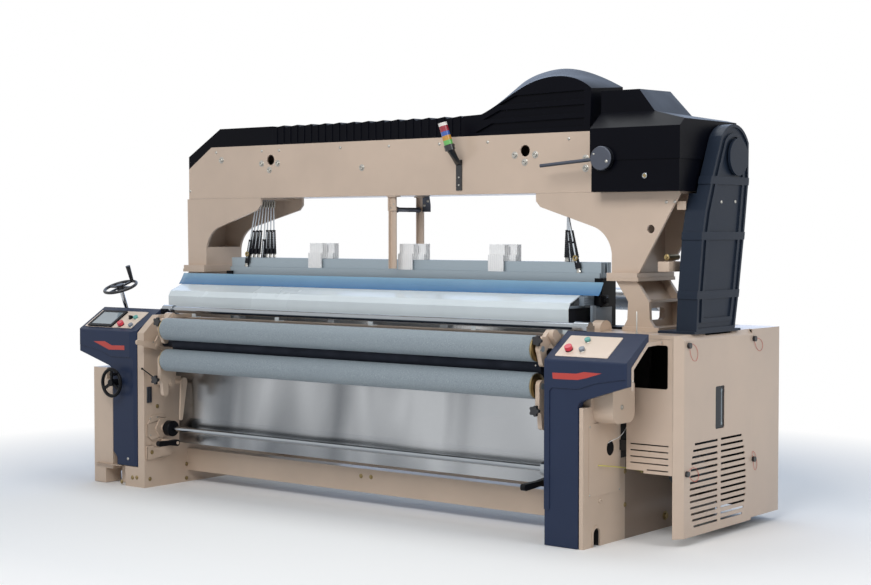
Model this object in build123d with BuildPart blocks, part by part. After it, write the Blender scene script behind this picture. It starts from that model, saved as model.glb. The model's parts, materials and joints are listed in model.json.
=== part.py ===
"""Water-jet power loom with an overhead dobby, 230 cm reed class."""

import math
import os

from build123d import *

os.makedirs("parts", exist_ok=True)

# Axes: +X to the loom's right hand, +Y to the rear, +Z up, floor at zero, in millimetres.
# A depth is measured to the rear from the consoles' front face, a height from the floor.
front_y = -730.0

# Clearances
running = 0.05  # radial, for a shaft in its bore
seat_gap = 0.3  # between pieces that move past each other
sheet = 4.0  # moulded and folded covers

# Side frames
frame_inner = 1420.0
frame_width = 196.0
frame_outer = frame_inner + frame_width
frame_front = 80.0
frame_rear = 1290.0
frame_top = 1005.0
frame_flange = 20.0
frame_knee = 900.0
frame_slope_end = 200.0
flange_inner = frame_inner - 15
flange_outer = frame_outer + 104
flange_front = 240.0
frame_wall = 25.0
strip_outer = frame_inner + 54
strip_front = 12.0
strip_knee = 905.0
strip_end = 130.0

# Overhead structure
beam_front = 535.0
beam_rear = 835.0
beam_bottom = 1690.0
beam_top = 1998.0
beam_left = 29 - frame_outer
beam_right = frame_inner - 54
beam_shoulder = beam_top - 127  # where the left end starts to slope
beam_shoulder_x = beam_left + 195
beam_wall = 10.0
plate = 15.0
foot_height = 1268.0
gusset_base = 22.0
gusset_tip = frame_inner - 438
gusset_leg = frame_inner + 21
foot_outer = frame_outer - 19
foot_front = 505.0
foot_rear = 865.0

# Consoles
console_wall = 4.0
console_top_depth = 200.0
right_console_inner = frame_inner - 17
right_console_outer = right_console_inner + 454
right_leg_outer = frame_outer - 26
right_knee = 889.0
left_console_inner = strip_outer + console_wall
left_console_outer = left_console_inner + 502
left_leg_outer = frame_outer + 75
left_knee = 909.0
console_rise = 131.0
leg_top = 700.0
chin_height = 780.0
sunk_depth = 6.0
console_edge = 11.0
knee_soft = 7.0
head_return = 46.0
inlay_thickness = 3.0

# Rollers
roller_left = 158 - frame_inner
roller_right = frame_inner - 96
roller_depth = 50.0
press_radius = 64.0
upper_height = 933.0
lower_height = 754.0
take_up_radius = 85.0
journal = 15.0
take_up_journal = 25.0
arm_thickness = 24.0
arm_faces = {1: frame_inner - 82, -1: frame_inner - 132}
ear_thickness = 26.0
arm_pin = 12.0
upper_pivot = (120.0, 998.0)
upper_ear = (190.0, 925.0)
lower_pivot = (110.0, 620.0)
cloth_depth = 150.0
cloth_height = 343.0
cloth_radius = 15.0
cloth_journal = 10.0
lever_pivot = (75.0, 832.0)
lever_x = 30 - frame_inner
lever_thickness = 12.0
lever_pin = 10.0
handle_pivots = {1: (100.0, 290.0), -1: (150.0, 262.0)}
handle_pin = 9.0
handle_thickness = 26.0

# Drive
main_depth = 674.0
main_height = 640.0
shaft_radius = 30.0
dobby_depth = 874.0
dobby_height = beam_bottom + 172
drive_pulley_radius = 110.0
dobby_pulley_radius = 90.0
large_sheave_radius = 140.0
motor_depth = 920.0
motor_height = 330.0
motor_sheave_radius = 50.0
belt_plane = flange_outer + 172
belt_width = 36.0
motor_plane = flange_outer + 100
motor_belt_width = 30.0
belt_thickness = 8.0

# Shedding
heald_count = 8
heald_pitch = 14.0
heald_thickness = 10.0
heald_front = 617.0
heald_half = frame_inner - 102
heald_top = 1338.0
heald_slat = 60.0
heald_height = 540.0
heald_lift = 55.0
rod_foot = heald_half - 128
rod_head = heald_half - 220
rod_head_height = beam_bottom
rod_radius = 4.0
sleeve_radius = 6.5

# Beating and let-off
sley_depth = 500.0
sley_height = 330.0
sley_shaft = 35.0
reed_height = 1160.0
reed_half = frame_inner - 140
sley_top = reed_height - 114
reed_slot = sley_top - 12
warp_depth = 1225.0
warp_height = 480.0
warp_flange = 350.0
warp_barrel = 80.0
rest_depth = 1200.0
rest_height = 1130.0
rest_radius = 60.0

# Right-hand end covers
end_outer = flange_outer + 230
end_front = 325.0
end_seam = 1050.0
end_rear = 1349.0
end_top = 1004.0
end_bottom = 38.0
end_chamfer = 32.0
belt_cover_inner = end_outer - 110
louvre_rows = 14
louvre_bottom = 79.0
louvre_pitch = 30.3
louvre_insets = (38, 26, 14, 5, 2, 0, 0, 2, 5, 9, 15, 22, 32, 46)
dobby_side = end_outer - 69
slot_front = main_depth - 84  # slot in the end cover for the belt
slot_rear = main_depth + 188


def side_view(x):
    """Sketch plane across the loom at x: coordinates are depth and height, extruding to +X."""
    return Plane(origin=(x, front_y, 0), x_dir=(0, 1, 0), z_dir=(1, 0, 0))


def front_view(depth):
    """Sketch plane facing the weaver: coordinates are x and height, extruding to the front."""
    return Plane(origin=(0, front_y + depth, 0), x_dir=(1, 0, 0), z_dir=(0, -1, 0))


def plan_view(height):
    """Sketch plane seen from above: coordinates are x and depth, extruding up."""
    return Plane(origin=(0, front_y, height))


def side_profile(x0, x1, points, mode=Mode.ADD):
    """A closed outline of depths and heights, from x0 to x1."""
    with BuildSketch(side_view(min(x0, x1))) as outline:
        with BuildLine():
            Polyline(points, close=True)
        make_face()
    extrude(outline.sketch, amount=abs(x1 - x0), mode=mode)


def front_profile(depth0, depth1, points, mode=Mode.ADD):
    """A closed outline of x and heights, from depth0 back to depth1."""
    with BuildSketch(front_view(depth1)) as outline:
        with BuildLine():
            Polyline(points, close=True)
        make_face()
    extrude(outline.sketch, amount=depth1 - depth0, mode=mode)


def plan_profile(height0, height1, points, mode=Mode.ADD):
    """A closed outline of x and depths, from height0 up to height1."""
    with BuildSketch(plan_view(height0)) as outline:
        with BuildLine():
            Polyline(points, close=True)
        make_face()
    extrude(outline.sketch, amount=height1 - height0, mode=mode)


def block(x0, x1, depth0, depth1, height0, height1, mode=Mode.ADD):
    """A square-edged block between two corners."""
    corners = [(x0, depth0), (x1, depth0), (x1, depth1), (x0, depth1)]
    plan_profile(height0, height1, corners, mode)


def round_bar(x0, x1, depth, height, radius, mode=Mode.ADD):
    """A round bar along X."""
    with BuildSketch(side_view(min(x0, x1))) as circle:
        with Locations((depth, height)):
            Circle(radius)
    extrude(circle.sketch, amount=abs(x1 - x0), mode=mode)


def round_post(x, depth, height0, height1, radius, mode=Mode.ADD):
    """A round bar standing up."""
    with BuildSketch(plan_view(height0)) as circle:
        with Locations((x, depth)):
            Circle(radius)
    extrude(circle.sketch, amount=height1 - height0, mode=mode)


def round_stub(x, depth0, depth1, height, radius, mode=Mode.ADD):
    """A round bar along Y, from depth0 back to depth1."""
    with BuildSketch(front_view(depth1)) as circle:
        with Locations((x, height)):
            Circle(radius)
    extrude(circle.sketch, amount=depth1 - depth0, mode=mode)


def link(x0, x1, ends, mode=Mode.ADD):
    """A flat link across the loom: the hull of circles (depth, height, radius)."""
    with BuildSketch(side_view(min(x0, x1))) as outline:
        for depth, height, radius in ends:
            with Locations((depth, height)):
                Circle(radius)
        make_hull()
    extrude(outline.sketch, amount=abs(x1 - x0), mode=mode)


# The take-up roller lies behind the two press rollers and touches both, less the gap.
nip = press_radius + take_up_radius + seat_gap
take_up_height = (upper_height + lower_height) / 2
half_spread = (upper_height - lower_height) / 2
take_up_depth = roller_depth + math.sqrt(nip**2 - half_spread**2)


def side_frame(side):
    """One cast side frame, open on its outboard side, with its bearings and pivot pins."""
    with BuildPart() as frame:
        low = [
            (frame_front, 0),
            (frame_front, frame_knee),
            (frame_slope_end, frame_top - frame_flange),
            (frame_rear, frame_top - frame_flange),
            (frame_rear, 0),
        ]
        side_profile(side * frame_inner, side * frame_outer, low)
        flange_height = frame_top - frame_flange
        block(side * flange_inner, side * flange_outer, flange_front, frame_rear, flange_height, frame_top)
        if side < 0:
            strip = [
                (strip_front, 0),
                (strip_front, strip_knee),
                (strip_end, frame_top),
                (flange_front, frame_top),
                (flange_front, 0),
            ]
            side_profile(side * frame_inner, side * strip_outer, strip)
            # Room for the console, whose inner wall comes down beside the strip
            block(
                side * strip_outer, side * (frame_outer + 1), frame_front - 1, console_top_depth + 5,
                leg_top - 80, frame_top - frame_flange, Mode.SUBTRACT,
            )
        else:
            # Front edge of the outer wall, beside the console's leg
            block(side * (right_leg_outer + 4), side * frame_outer, 14, frame_front + 1, 0, 668)
        # Pockets cored from the outboard side, with webs left between them
        deep = side * (frame_inner + frame_wall)
        face = side * (frame_outer + 1)
        block(deep, face, 110, 330, 250, 590, Mode.SUBTRACT)
        block(deep, face, 400, 600, 380, 950, Mode.SUBTRACT)
        block(deep, face, 630, 860, 380, 950, Mode.SUBTRACT)
        block(deep, face, 1080, 1250, 120, 950, Mode.SUBTRACT)
        block(deep, face, 890, 1050, 520, 950, Mode.SUBTRACT)
        # Arched foot opening for the anchor bolt
        with BuildSketch(side_view(face)) as arch:
            with Locations((130, 30)):
                Rectangle(56, 60)
            with Locations((130, 60)):
                Circle(28)
        extrude(arch.sketch, amount=-side * 90, mode=Mode.SUBTRACT)
        # Bosses and bores of the shafts
        for depth, height, radius in (
            (main_depth, main_height, shaft_radius),
            (sley_depth, sley_height, sley_shaft),
            (take_up_depth, take_up_height, take_up_journal),
        ):
            inside = side * (frame_inner - 12)
            outside = side * (frame_inner + frame_wall + 20)
            round_bar(inside, outside, depth, height, radius + 22)
            round_bar(inside - side, outside + side, depth, height, radius + running, Mode.SUBTRACT)
        # Pins on which the press roller arms swing, the upper one on an ear
        arm_face = arm_faces[side]
        arm_back = arm_face + arm_thickness + seat_gap
        ear = arm_back + ear_thickness
        link(side * arm_back, side * ear, [(*upper_pivot, 26), (*upper_ear, 30)])
        round_bar(side * ear, side * (frame_inner + 5), *upper_ear, 28)
        round_bar(side * arm_back, side * (frame_inner + 5), *lower_pivot, 23)
        for pivot in (upper_pivot, lower_pivot):
            round_bar(side * (ear - 5), side * (arm_face - 4), *pivot, arm_pin)
        # Flanges with the cloth roller's bearings, and the tall cloth guides above them
        with BuildSketch(side_view(side * frame_inner)) as flange:
            with Locations((cloth_depth, cloth_height)):
                RegularPolygon(62, 6)
        extrude(flange.sketch, amount=-side * 16)
        round_bar(side * (frame_inner - 30), side * frame_inner, cloth_depth, cloth_height, 24)
        round_bar(
            side * (frame_inner - 31), side * (frame_inner + 20), cloth_depth, cloth_height,
            cloth_journal + running, Mode.SUBTRACT,
        )
        guide_x = side * (arm_face + 12)
        link(guide_x - 6, guide_x + 6, [(212, 615, 24), (188, 400, 10)])
        round_bar(side * (arm_face + 12), side * frame_inner, 212, 615, 16)
        # Pins of the cloth handles and of the tension lever
        handle_back = arm_face + handle_thickness + seat_gap
        round_bar(side * handle_back, side * frame_inner, *handle_pivots[side], 16)
        round_bar(side * (arm_face - 4), side * frame_inner, *handle_pivots[side], handle_pin)
        if side < 0:
            round_bar(lever_x - seat_gap, -frame_inner, *lever_pivot, 20)
            round_bar(lever_x + lever_thickness + 4, -frame_inner, *lever_pivot, lever_pin)
            block(29 - frame_outer, -frame_inner, strip_front, frame_front, 0, 118)
        # Bearing arms of the warp beam and of the back rest
        for depth, height, radius in ((warp_depth, warp_height, 35), (rest_depth, rest_height, 25)):
            bearing = [(depth, height, radius + 25), (frame_rear - 180, min(height, frame_top) - 60, 60)]
            if height > frame_top:
                link(side * (frame_inner + 40), side * (frame_inner + 70), bearing)
                round_bar(side * (frame_inner - 10), side * (frame_inner + 70), depth, height, radius + 20)
            else:
                round_bar(side * (frame_inner - 60), side * frame_inner, depth, height, radius + 25)
            near = side * (frame_inner - 61)
            far = side * (frame_inner + 20)
            round_bar(near, far, depth, height, radius + running, Mode.SUBTRACT)
    return frame


side_frame_right = side_frame(1)
side_frame_left = side_frame(-1)

# Lower front and rear rails, folded channels, and the box-section breast beam
with BuildPart() as cross_rails:
    for depth0, depth1, height0, height1 in ((350, 430, 70, 200), (1180, 1260, 30, 120)):
        channel = [
            (depth0, height0),
            (depth1, height0),
            (depth1, height0 + 12),
            (depth0 + 12, height0 + 12),
            (depth0 + 12, height1 - 12),
            (depth1, height1 - 12),
            (depth1, height1),
            (depth0, height1),
        ]
        side_profile(-frame_inner, frame_inner, channel)
    block(-frame_inner, frame_inner, 335, 420, 890, 985)
    block(-frame_inner, frame_inner, 345, 410, 900, 975, Mode.SUBTRACT)


waist_top = foot_height - 118
waist_bottom = frame_top + 55


def pedestal(side):
    """Cast pedestal that carries the gusset on the side frame."""
    with BuildPart() as casting:
        block(side * (frame_outer - 103), side * flange_outer, 520, 880, frame_top, frame_top + 20)
        block(
            side * (frame_inner + 10), side * (frame_outer - 4), foot_front, foot_rear,
            foot_height - 18, foot_height,
        )
        column = [
            (side * (frame_inner + 50), foot_height - 18),
            (side * (frame_outer - 28), foot_height - 18),
            (side * (frame_outer + 44), waist_top),
            (side * (frame_outer + 48), waist_bottom),
            (side * (frame_outer + 74), frame_top + 20),
            (side * (frame_outer - 100), frame_top + 20),
            (side * (frame_outer - 80), waist_bottom),
            (side * (frame_outer - 76), waist_top),
        ]
        front_profile(530, 552, column)
        front_profile(838, 860, column)
        web = [
            (side * (frame_outer - 96), foot_height - 18),
            (side * (frame_outer - 76), foot_height - 18),
            (side * (frame_outer - 4), waist_top),
            (side * (frame_outer - 4), frame_top + 20),
            (side * (frame_outer - 24), frame_top + 20),
            (side * (frame_outer - 24), waist_top + 2),
        ]
        front_profile(552, 838, web)
        block(side * (frame_outer - 75), side * (frame_outer + 43), 552, 838, waist_top - 6, waist_top + 8)
        with BuildSketch(side_view(side * (frame_outer - 116))) as window:
            with Locations((695, frame_top + 80)):
                SlotOverall(150, 60)
        extrude(window.sketch, amount=side * 200, mode=Mode.SUBTRACT)
    return casting


pedestal_right = pedestal(1)
pedestal_left = pedestal(-1)
with BuildPart() as pedestals:
    add(pedestal_right.part)
    add(pedestal_left.part)


def gusset(side, top_outer):
    """Plate gusset between a pedestal and the overhead beam."""
    with BuildPart() as bracket:
        foot = foot_height + gusset_base
        top = beam_bottom - 10
        bend = gusset_leg - 111
        throat = top - 295
        for depth, tip in ((beam_front, gusset_tip), (beam_rear - plate, gusset_tip - 68)):
            with BuildSketch(front_view(depth + plate)) as outline:
                with BuildLine():
                    Line((side * tip, top), (side * tip, top - 30))
                    Line((side * tip, top - 30), (side * (tip + 28), top - 60))
                    Line((side * (tip + 28), top - 60), (side * bend, top - 160))
                    TangentArc(
                        (side * bend, top - 160), (side * gusset_leg, throat),
                        tangent=(side * 320, -100),
                    )
                    Line((side * gusset_leg, throat), (side * gusset_leg, foot))
                    Line((side * gusset_leg, foot), (side * foot_outer, foot))
                    Line((side * foot_outer, foot), (side * top_outer, top))
                    Line((side * top_outer, top), (side * tip, top))
                make_face()
            extrude(outline.sketch, amount=plate)
        block(side * (frame_inner + 10), side * (frame_outer - 10), foot_front, foot_rear, foot_height, foot)
        block(side * gusset_tip, side * top_outer, beam_front, beam_rear, top, beam_bottom)
        block(side * (gusset_tip - 68), side * gusset_tip, beam_rear - plate, beam_rear, top, beam_bottom)
        block(
            side * (rod_head - 70), side * (rod_foot - 10), heald_front - 20,
            heald_front + heald_count * heald_pitch + 20, top - 1, beam_bottom + 1, Mode.SUBTRACT,
        )
        block(
            side * gusset_leg, side * (gusset_leg + 12), beam_front + plate, beam_rear - plate, foot,
            throat + 15,
        )
        block(
            side * (foot_outer - 30), side * (foot_outer - 18), beam_front + plate, beam_rear - plate,
            foot, top,
        )
        if side > 0:
            round_stub(frame_outer + 49, beam_front - 1, beam_front + plate + 1, top - 173, 21, Mode.SUBTRACT)
    return bracket


gusset_right = gusset(1, frame_outer + 210)
gusset_left = gusset(-1, frame_outer - 14)
with BuildPart() as gussets:
    add(gusset_right.part)
    add(gusset_left.part)

# Beam across the top: folded box with openings for the lifting rods in its floor
with BuildPart() as overhead_beam:
    outline_points = [
        (beam_left, beam_bottom),
        (beam_right, beam_bottom),
        (beam_right, beam_top),
        (beam_shoulder_x, beam_top),
        (beam_left, beam_shoulder),
    ]
    front_profile(beam_front, beam_rear, outline_points)
    core = [
        (beam_left + beam_wall, beam_bottom + beam_wall),
        (beam_right - beam_wall, beam_bottom + beam_wall),
        (beam_right - beam_wall, beam_top - beam_wall),
        (beam_shoulder_x + 4, beam_top - beam_wall),
        (beam_left + beam_wall, beam_shoulder - 6),
    ]
    front_profile(beam_front + beam_wall, beam_rear - beam_wall, core, Mode.SUBTRACT)
    for side in (-1, 1):
        block(
            side * (rod_head - 70), side * (rod_foot - 10), heald_front - 20,
            heald_front + heald_count * heald_pitch + 20, beam_bottom - 30, beam_bottom + 20, Mode.SUBTRACT,
        )
    for hole_x in (-901, 913):
        round_stub(hole_x, beam_front - 1, beam_front + beam_wall + 1, beam_top - 87, 30, Mode.SUBTRACT)
    # Hangers that steady the heald frames at mid width
    for depth in (beam_front + 23, beam_rear - 35):
        block(-8, 32, depth - 4, depth + 4, beam_bottom - 400, beam_bottom)
        block(-8, -4, depth - 20, depth + 20, beam_bottom - 400, beam_bottom)
        block(-20, 44, depth - 22, depth + 22, beam_bottom - 6, beam_bottom)
    round_stub(12, beam_front + 25, beam_rear - 37, beam_bottom - 75, 11)

# Moulded covers along the beam
rib_start = beam_left + 704
rib_end = beam_right - 856
rib_count = 13
rib_pitch = (rib_end - rib_start) / rib_count
rib_crest = beam_top + 110
rib_step = 12.0
bead_width = 7.0
bead_rise = 4.0
bead_foot = 6.0
end_crest = beam_top + 108
with BuildPart() as beam_end_cover:
    end_outline = [
        (beam_left, beam_shoulder),
        (beam_shoulder_x, beam_top),
        (rib_start, beam_top),
        (rib_start, end_crest),
        (beam_left + 270, end_crest),
        (beam_left, beam_shoulder + 75),
    ]
    front_profile(beam_front, beam_rear, end_outline)
    inner_outline = [
        (beam_left + 6, beam_shoulder + 11),
        (beam_shoulder_x - 4, beam_top + 5),
        (rib_start - sheet, beam_top + 5),
        (rib_start - sheet, end_crest - sheet),
        (beam_left + 271, end_crest - sheet),
        (beam_left + 6, beam_shoulder + 73),
    ]
    front_profile(beam_front + sheet, beam_rear - sheet, inner_outline, Mode.SUBTRACT)

with BuildPart() as ribbed_cover:
    teeth = [(rib_start, beam_top)]
    for rib in range(rib_count):
        left = rib_start + rib * rib_pitch
        teeth.append((left, rib_crest - rib_step))
        teeth.append((left + 0.85 * rib_pitch, rib_crest))
    teeth.append((rib_end, rib_crest - rib_step))
    teeth.append((rib_end, beam_top))
    front_profile(beam_front, beam_rear, teeth)
    # Beads down the front and rear faces, at each step of the top and between the steps
    for rib in range(rib_count):
        for share, drop in ((0.35, 0.75 * rib_step), (0.85, 1)):
            crest = rib_start + (rib + share) * rib_pitch
            block(
                crest - bead_width, crest, beam_front - bead_rise, beam_rear + bead_rise,
                beam_top + bead_foot, rib_crest - drop,
            )
    block(
        rib_start + sheet, rib_end - sheet, beam_front + sheet, beam_rear - sheet,
        beam_top - 1, rib_crest - rib_step - sheet, Mode.SUBTRACT,
    )

hump_left = rib_end
hump_right = beam_right - 40
with BuildPart() as hump_cover:
    front_points = [
        (hump_right - back, beam_top + rise)
        for back, rise in ((695, 112), (536, 188), (396, 254), (246, 285), (126, 274), (8, 214))
    ]
    rear_points = [
        (hump_right - back, beam_top + rise)
        for back, rise in ((766, 152), (626, 302), (496, 344), (366, 355), (196, 320), (10, 238))
    ]
    with BuildSketch(front_view(beam_front)) as front_face:
        with BuildLine():
            Polyline(
                (hump_right - 18, beam_top), (hump_left, beam_top), (hump_left, end_crest),
                front_points[0],
            )
            Spline(front_points)
            Line(front_points[-1], (hump_right - 18, beam_top))
        make_face()
    with BuildSketch(front_view(beam_rear)) as rear_face:
        with BuildLine():
            Polyline(
                (hump_right - 18, beam_top), (hump_left, beam_top), (hump_left, end_crest),
                rear_points[0],
            )
            Spline(rear_points)
            Line(rear_points[-1], (hump_right - 18, beam_top))
        make_face()
    loft([front_face.sketch, rear_face.sketch])
    for rise, back in ((144, 586), (73, 686), (6, 738)):
        low = beam_top + rise
        left = hump_right - back
        right = hump_right - 50
        louvre = [(left, low + 10), (right, low + 20), (right, low + 64), (left + 110, low + 56)]
        front_profile(beam_front - 1, beam_front + 14, louvre, Mode.SUBTRACT)

box_left = beam_right + 8
box_right = box_left + 497
box_front = beam_front - 85
box_rear = beam_rear + 165
box_split = beam_bottom + 203
with BuildPart() as dobby_box:
    block(box_left, box_right, box_front, box_rear, beam_bottom, box_split)
    block(
        box_left + sheet, box_right - sheet, box_front + sheet, box_rear - sheet,
        beam_bottom + sheet, box_split + 1, Mode.SUBTRACT,
    )
    round_bar(box_right - 8, box_right + 1, dobby_depth, dobby_height, 30 + running, Mode.SUBTRACT)
    round_stub(box_left + 309, box_front - 5, box_front, beam_bottom + 75, 13)

with BuildPart() as dobby_cover:
    lip = 6.0
    skirt = [
        (box_front - lip, box_split - 48),
        (box_front - lip, box_split + 110),
        (box_front + 100, box_split + 192),
        (box_rear + lip, box_split + 157),
        (box_rear + lip, box_split - 48),
    ]
    side_profile(box_left - lip, box_right + lip, skirt)
    dome_edge = box_left + 306
    slope_cut = [
        (dome_edge, box_split + 207),
        (dome_edge, box_split + 190),
        (box_right + 15, box_split + 143),
        (box_right + 15, box_split + 207),
    ]
    front_profile(box_front - 20, box_rear + 20, slope_cut, Mode.SUBTRACT)
    with BuildSketch(front_view(box_front + 98)) as dome_front:
        with BuildLine():
            Polyline([
                (box_left - lip, box_split + 167),
                (box_left - lip, box_split + 302),
                (dome_edge - 92, box_split + 302),
                (dome_edge, box_split + 187),
                (dome_edge, box_split + 167),
            ], close=True)
        make_face()
    with BuildSketch(front_view(box_rear)) as dome_rear:
        with BuildLine():
            Polyline([
                (box_left - lip, box_split + 157),
                (box_left - lip, box_split + 332),
                (dome_edge - 180, box_split + 322),
                (dome_edge - 30, box_split + 167),
                (dome_edge - 30, box_split + 157),
            ], close=True)
        make_face()
    loft([dome_front.sketch, dome_rear.sketch])
    block(
        box_left - seat_gap, box_right + seat_gap, box_front - seat_gap, box_rear + seat_gap,
        box_split - 53, box_split + seat_gap, Mode.SUBTRACT,
    )
    block(
        box_left + sheet, box_right - sheet, box_front + sheet, box_rear - sheet,
        box_split, box_split + 97, Mode.SUBTRACT,
    )
    round_bar(box_right - 20, box_right + 20, dobby_depth, dobby_height, 34, Mode.SUBTRACT)

# Tall belt cover between the end cover and the dobby
cover_foot = end_top + 12
cover_front = [
    (dobby_depth - 391, cover_foot),
    (dobby_depth - 378, dobby_height - 667),
    (dobby_depth - 337, dobby_height - 375),
    (dobby_depth - 309, dobby_height - 265),
    (dobby_depth - 244, dobby_height - 102),
    (dobby_depth - 152, dobby_height + 98),
]
cover_crown = (dobby_depth, dobby_height + 159)
cover_back = [
    (dobby_depth + 126, dobby_height + 73),
    (dobby_depth + 125, dobby_height - 116),
    (dobby_depth + 81, dobby_height - 398),
    (dobby_depth + 28, dobby_height - 679),
    (dobby_depth - 9, cover_foot),
]
cover_relief = 8.0
cover_rim = 15.0
cover_rib_inset = 42.0
cover_rib_width = 20.0
cover_bands = (118, 388, 672)  # below the pulley's centre
cover_band_width = 38.0
cover_band_rise = 6.0
with BuildPart() as belt_cover:
    def cover_shape(inset, x0, x1, floor, mode=Mode.ADD):
        """The cover's outline, drawn in by an inset, from x0 to x1."""
        with BuildSketch(side_view(x0)) as outline:
            with BuildLine():
                Polyline(cover_front)
                ThreePointArc(cover_front[-1], cover_crown, cover_back[0])
                Polyline([*cover_back, cover_front[0]])
            make_face()
            if inset:
                offset(amount=-inset, mode=Mode.REPLACE)
                if floor:
                    with Locations((dobby_depth - 195, cover_foot)):
                        Rectangle(350, 40)
        extrude(outline.sketch, amount=x1 - x0, mode=mode)

    cover_shape(0, belt_cover_inner, end_outer, False)
    # Bands that stand out from the front and back walls
    with BuildSketch(side_view(belt_cover_inner)) as widened:
        with BuildLine():
            Polyline(cover_front)
            ThreePointArc(cover_front[-1], cover_crown, cover_back[0])
            Polyline([*cover_back, cover_front[0]])
        make_face()
        offset(amount=cover_band_rise, mode=Mode.REPLACE)
    with BuildSketch(side_view(belt_cover_inner)) as bands:
        with Locations([(dobby_depth, dobby_height - drop) for drop in cover_bands]):
            Rectangle(1200, cover_band_width)
        add(widened.sketch_local, mode=Mode.INTERSECT)
    extrude(bands.sketch, amount=end_outer - belt_cover_inner)
    cover_shape(10, belt_cover_inner + sheet, end_outer - 14, True, Mode.SUBTRACT)
    # The upper part is narrower, beside the dobby
    block(
        belt_cover_inner - 1, dobby_side, box_front - 10, box_rear + 10,
        beam_bottom - 10, dobby_height + 168, Mode.SUBTRACT,
    )
    with BuildSketch(side_view(dobby_side)) as upper_wall:
        with BuildLine():
            Polyline(cover_front)
            ThreePointArc(cover_front[-1], cover_crown, cover_back[0])
            Polyline([*cover_back, cover_front[0]])
        make_face()
        with Locations((dobby_depth - 174, beam_bottom - 514)):
            Rectangle(1000, 1000, mode=Mode.SUBTRACT)
    extrude(upper_wall.sketch, amount=sheet)
    step_low = beam_bottom - 14
    step_points = [
        (dobby_depth - 274, step_low),
        (dobby_depth + 116, step_low),
        (dobby_depth + 116, step_low + sheet),
        (dobby_depth - 272, step_low + sheet),
    ]
    side_profile(belt_cover_inner, dobby_side + 1, step_points)
    block(flange_outer + 25, end_outer - 2, dobby_depth - 404, dobby_depth + 56, end_top, cover_foot)
    block(
        belt_plane - 8, belt_plane + belt_width + 8, slot_front, slot_rear,
        end_top - 1, cover_foot + 1, Mode.SUBTRACT,
    )
    # Outer face sunk inside its rim, with a rib that follows the rim and the bands left standing
    with BuildSketch(side_view(end_outer - cover_relief)) as sunk_face:
        with BuildLine():
            Polyline(cover_front)
            ThreePointArc(cover_front[-1], cover_crown, cover_back[0])
            Polyline([*cover_back, cover_front[0]])
        make_face()
        offset(amount=-cover_rim, mode=Mode.REPLACE)
        with Locations([(dobby_depth, dobby_height - drop) for drop in cover_bands]):
            Rectangle(1000, cover_band_width, mode=Mode.SUBTRACT)
    with BuildSketch(side_view(end_outer - cover_relief)) as face_rib:
        with BuildLine():
            Polyline(cover_front)
            ThreePointArc(cover_front[-1], cover_crown, cover_back[0])
            Polyline([*cover_back, cover_front[0]])
        make_face()
        offset(amount=-cover_rib_inset, mode=Mode.REPLACE)
        offset(amount=-cover_rib_width, mode=Mode.SUBTRACT)
    extrude(sunk_face.sketch, amount=cover_relief + 1, mode=Mode.SUBTRACT)
    extrude(face_rib.sketch, amount=cover_relief)
    round_bar(end_outer, end_outer + 14, dobby_depth, dobby_height, 92)
    round_bar(dobby_side - 1, dobby_side + sheet + 1, dobby_depth, dobby_height, 34, Mode.SUBTRACT)

with BuildPart() as signal_lamp:
    block(468, 506, beam_front - 6, beam_front, 1713, 1850)
    with BuildSketch(Plane(origin=(487, front_y + beam_front - 3, 1845))) as root:
        Rectangle(38, 6)
    with BuildSketch(Plane(origin=(501, front_y + 437, 1925))) as cup_base:
        Circle(24)
    loft([root.sketch, cup_base.sketch])
    lamp_plane = Plane(origin=(501, front_y + 437, 1925), z_dir=(-0.25, -0.14, 0.958))
    with BuildSketch(lamp_plane.offset(-4)):
        Circle(28)
    extrude(amount=30)
    with BuildSketch(lamp_plane.offset(20)):
        Circle(24)
    extrude(amount=128)


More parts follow.
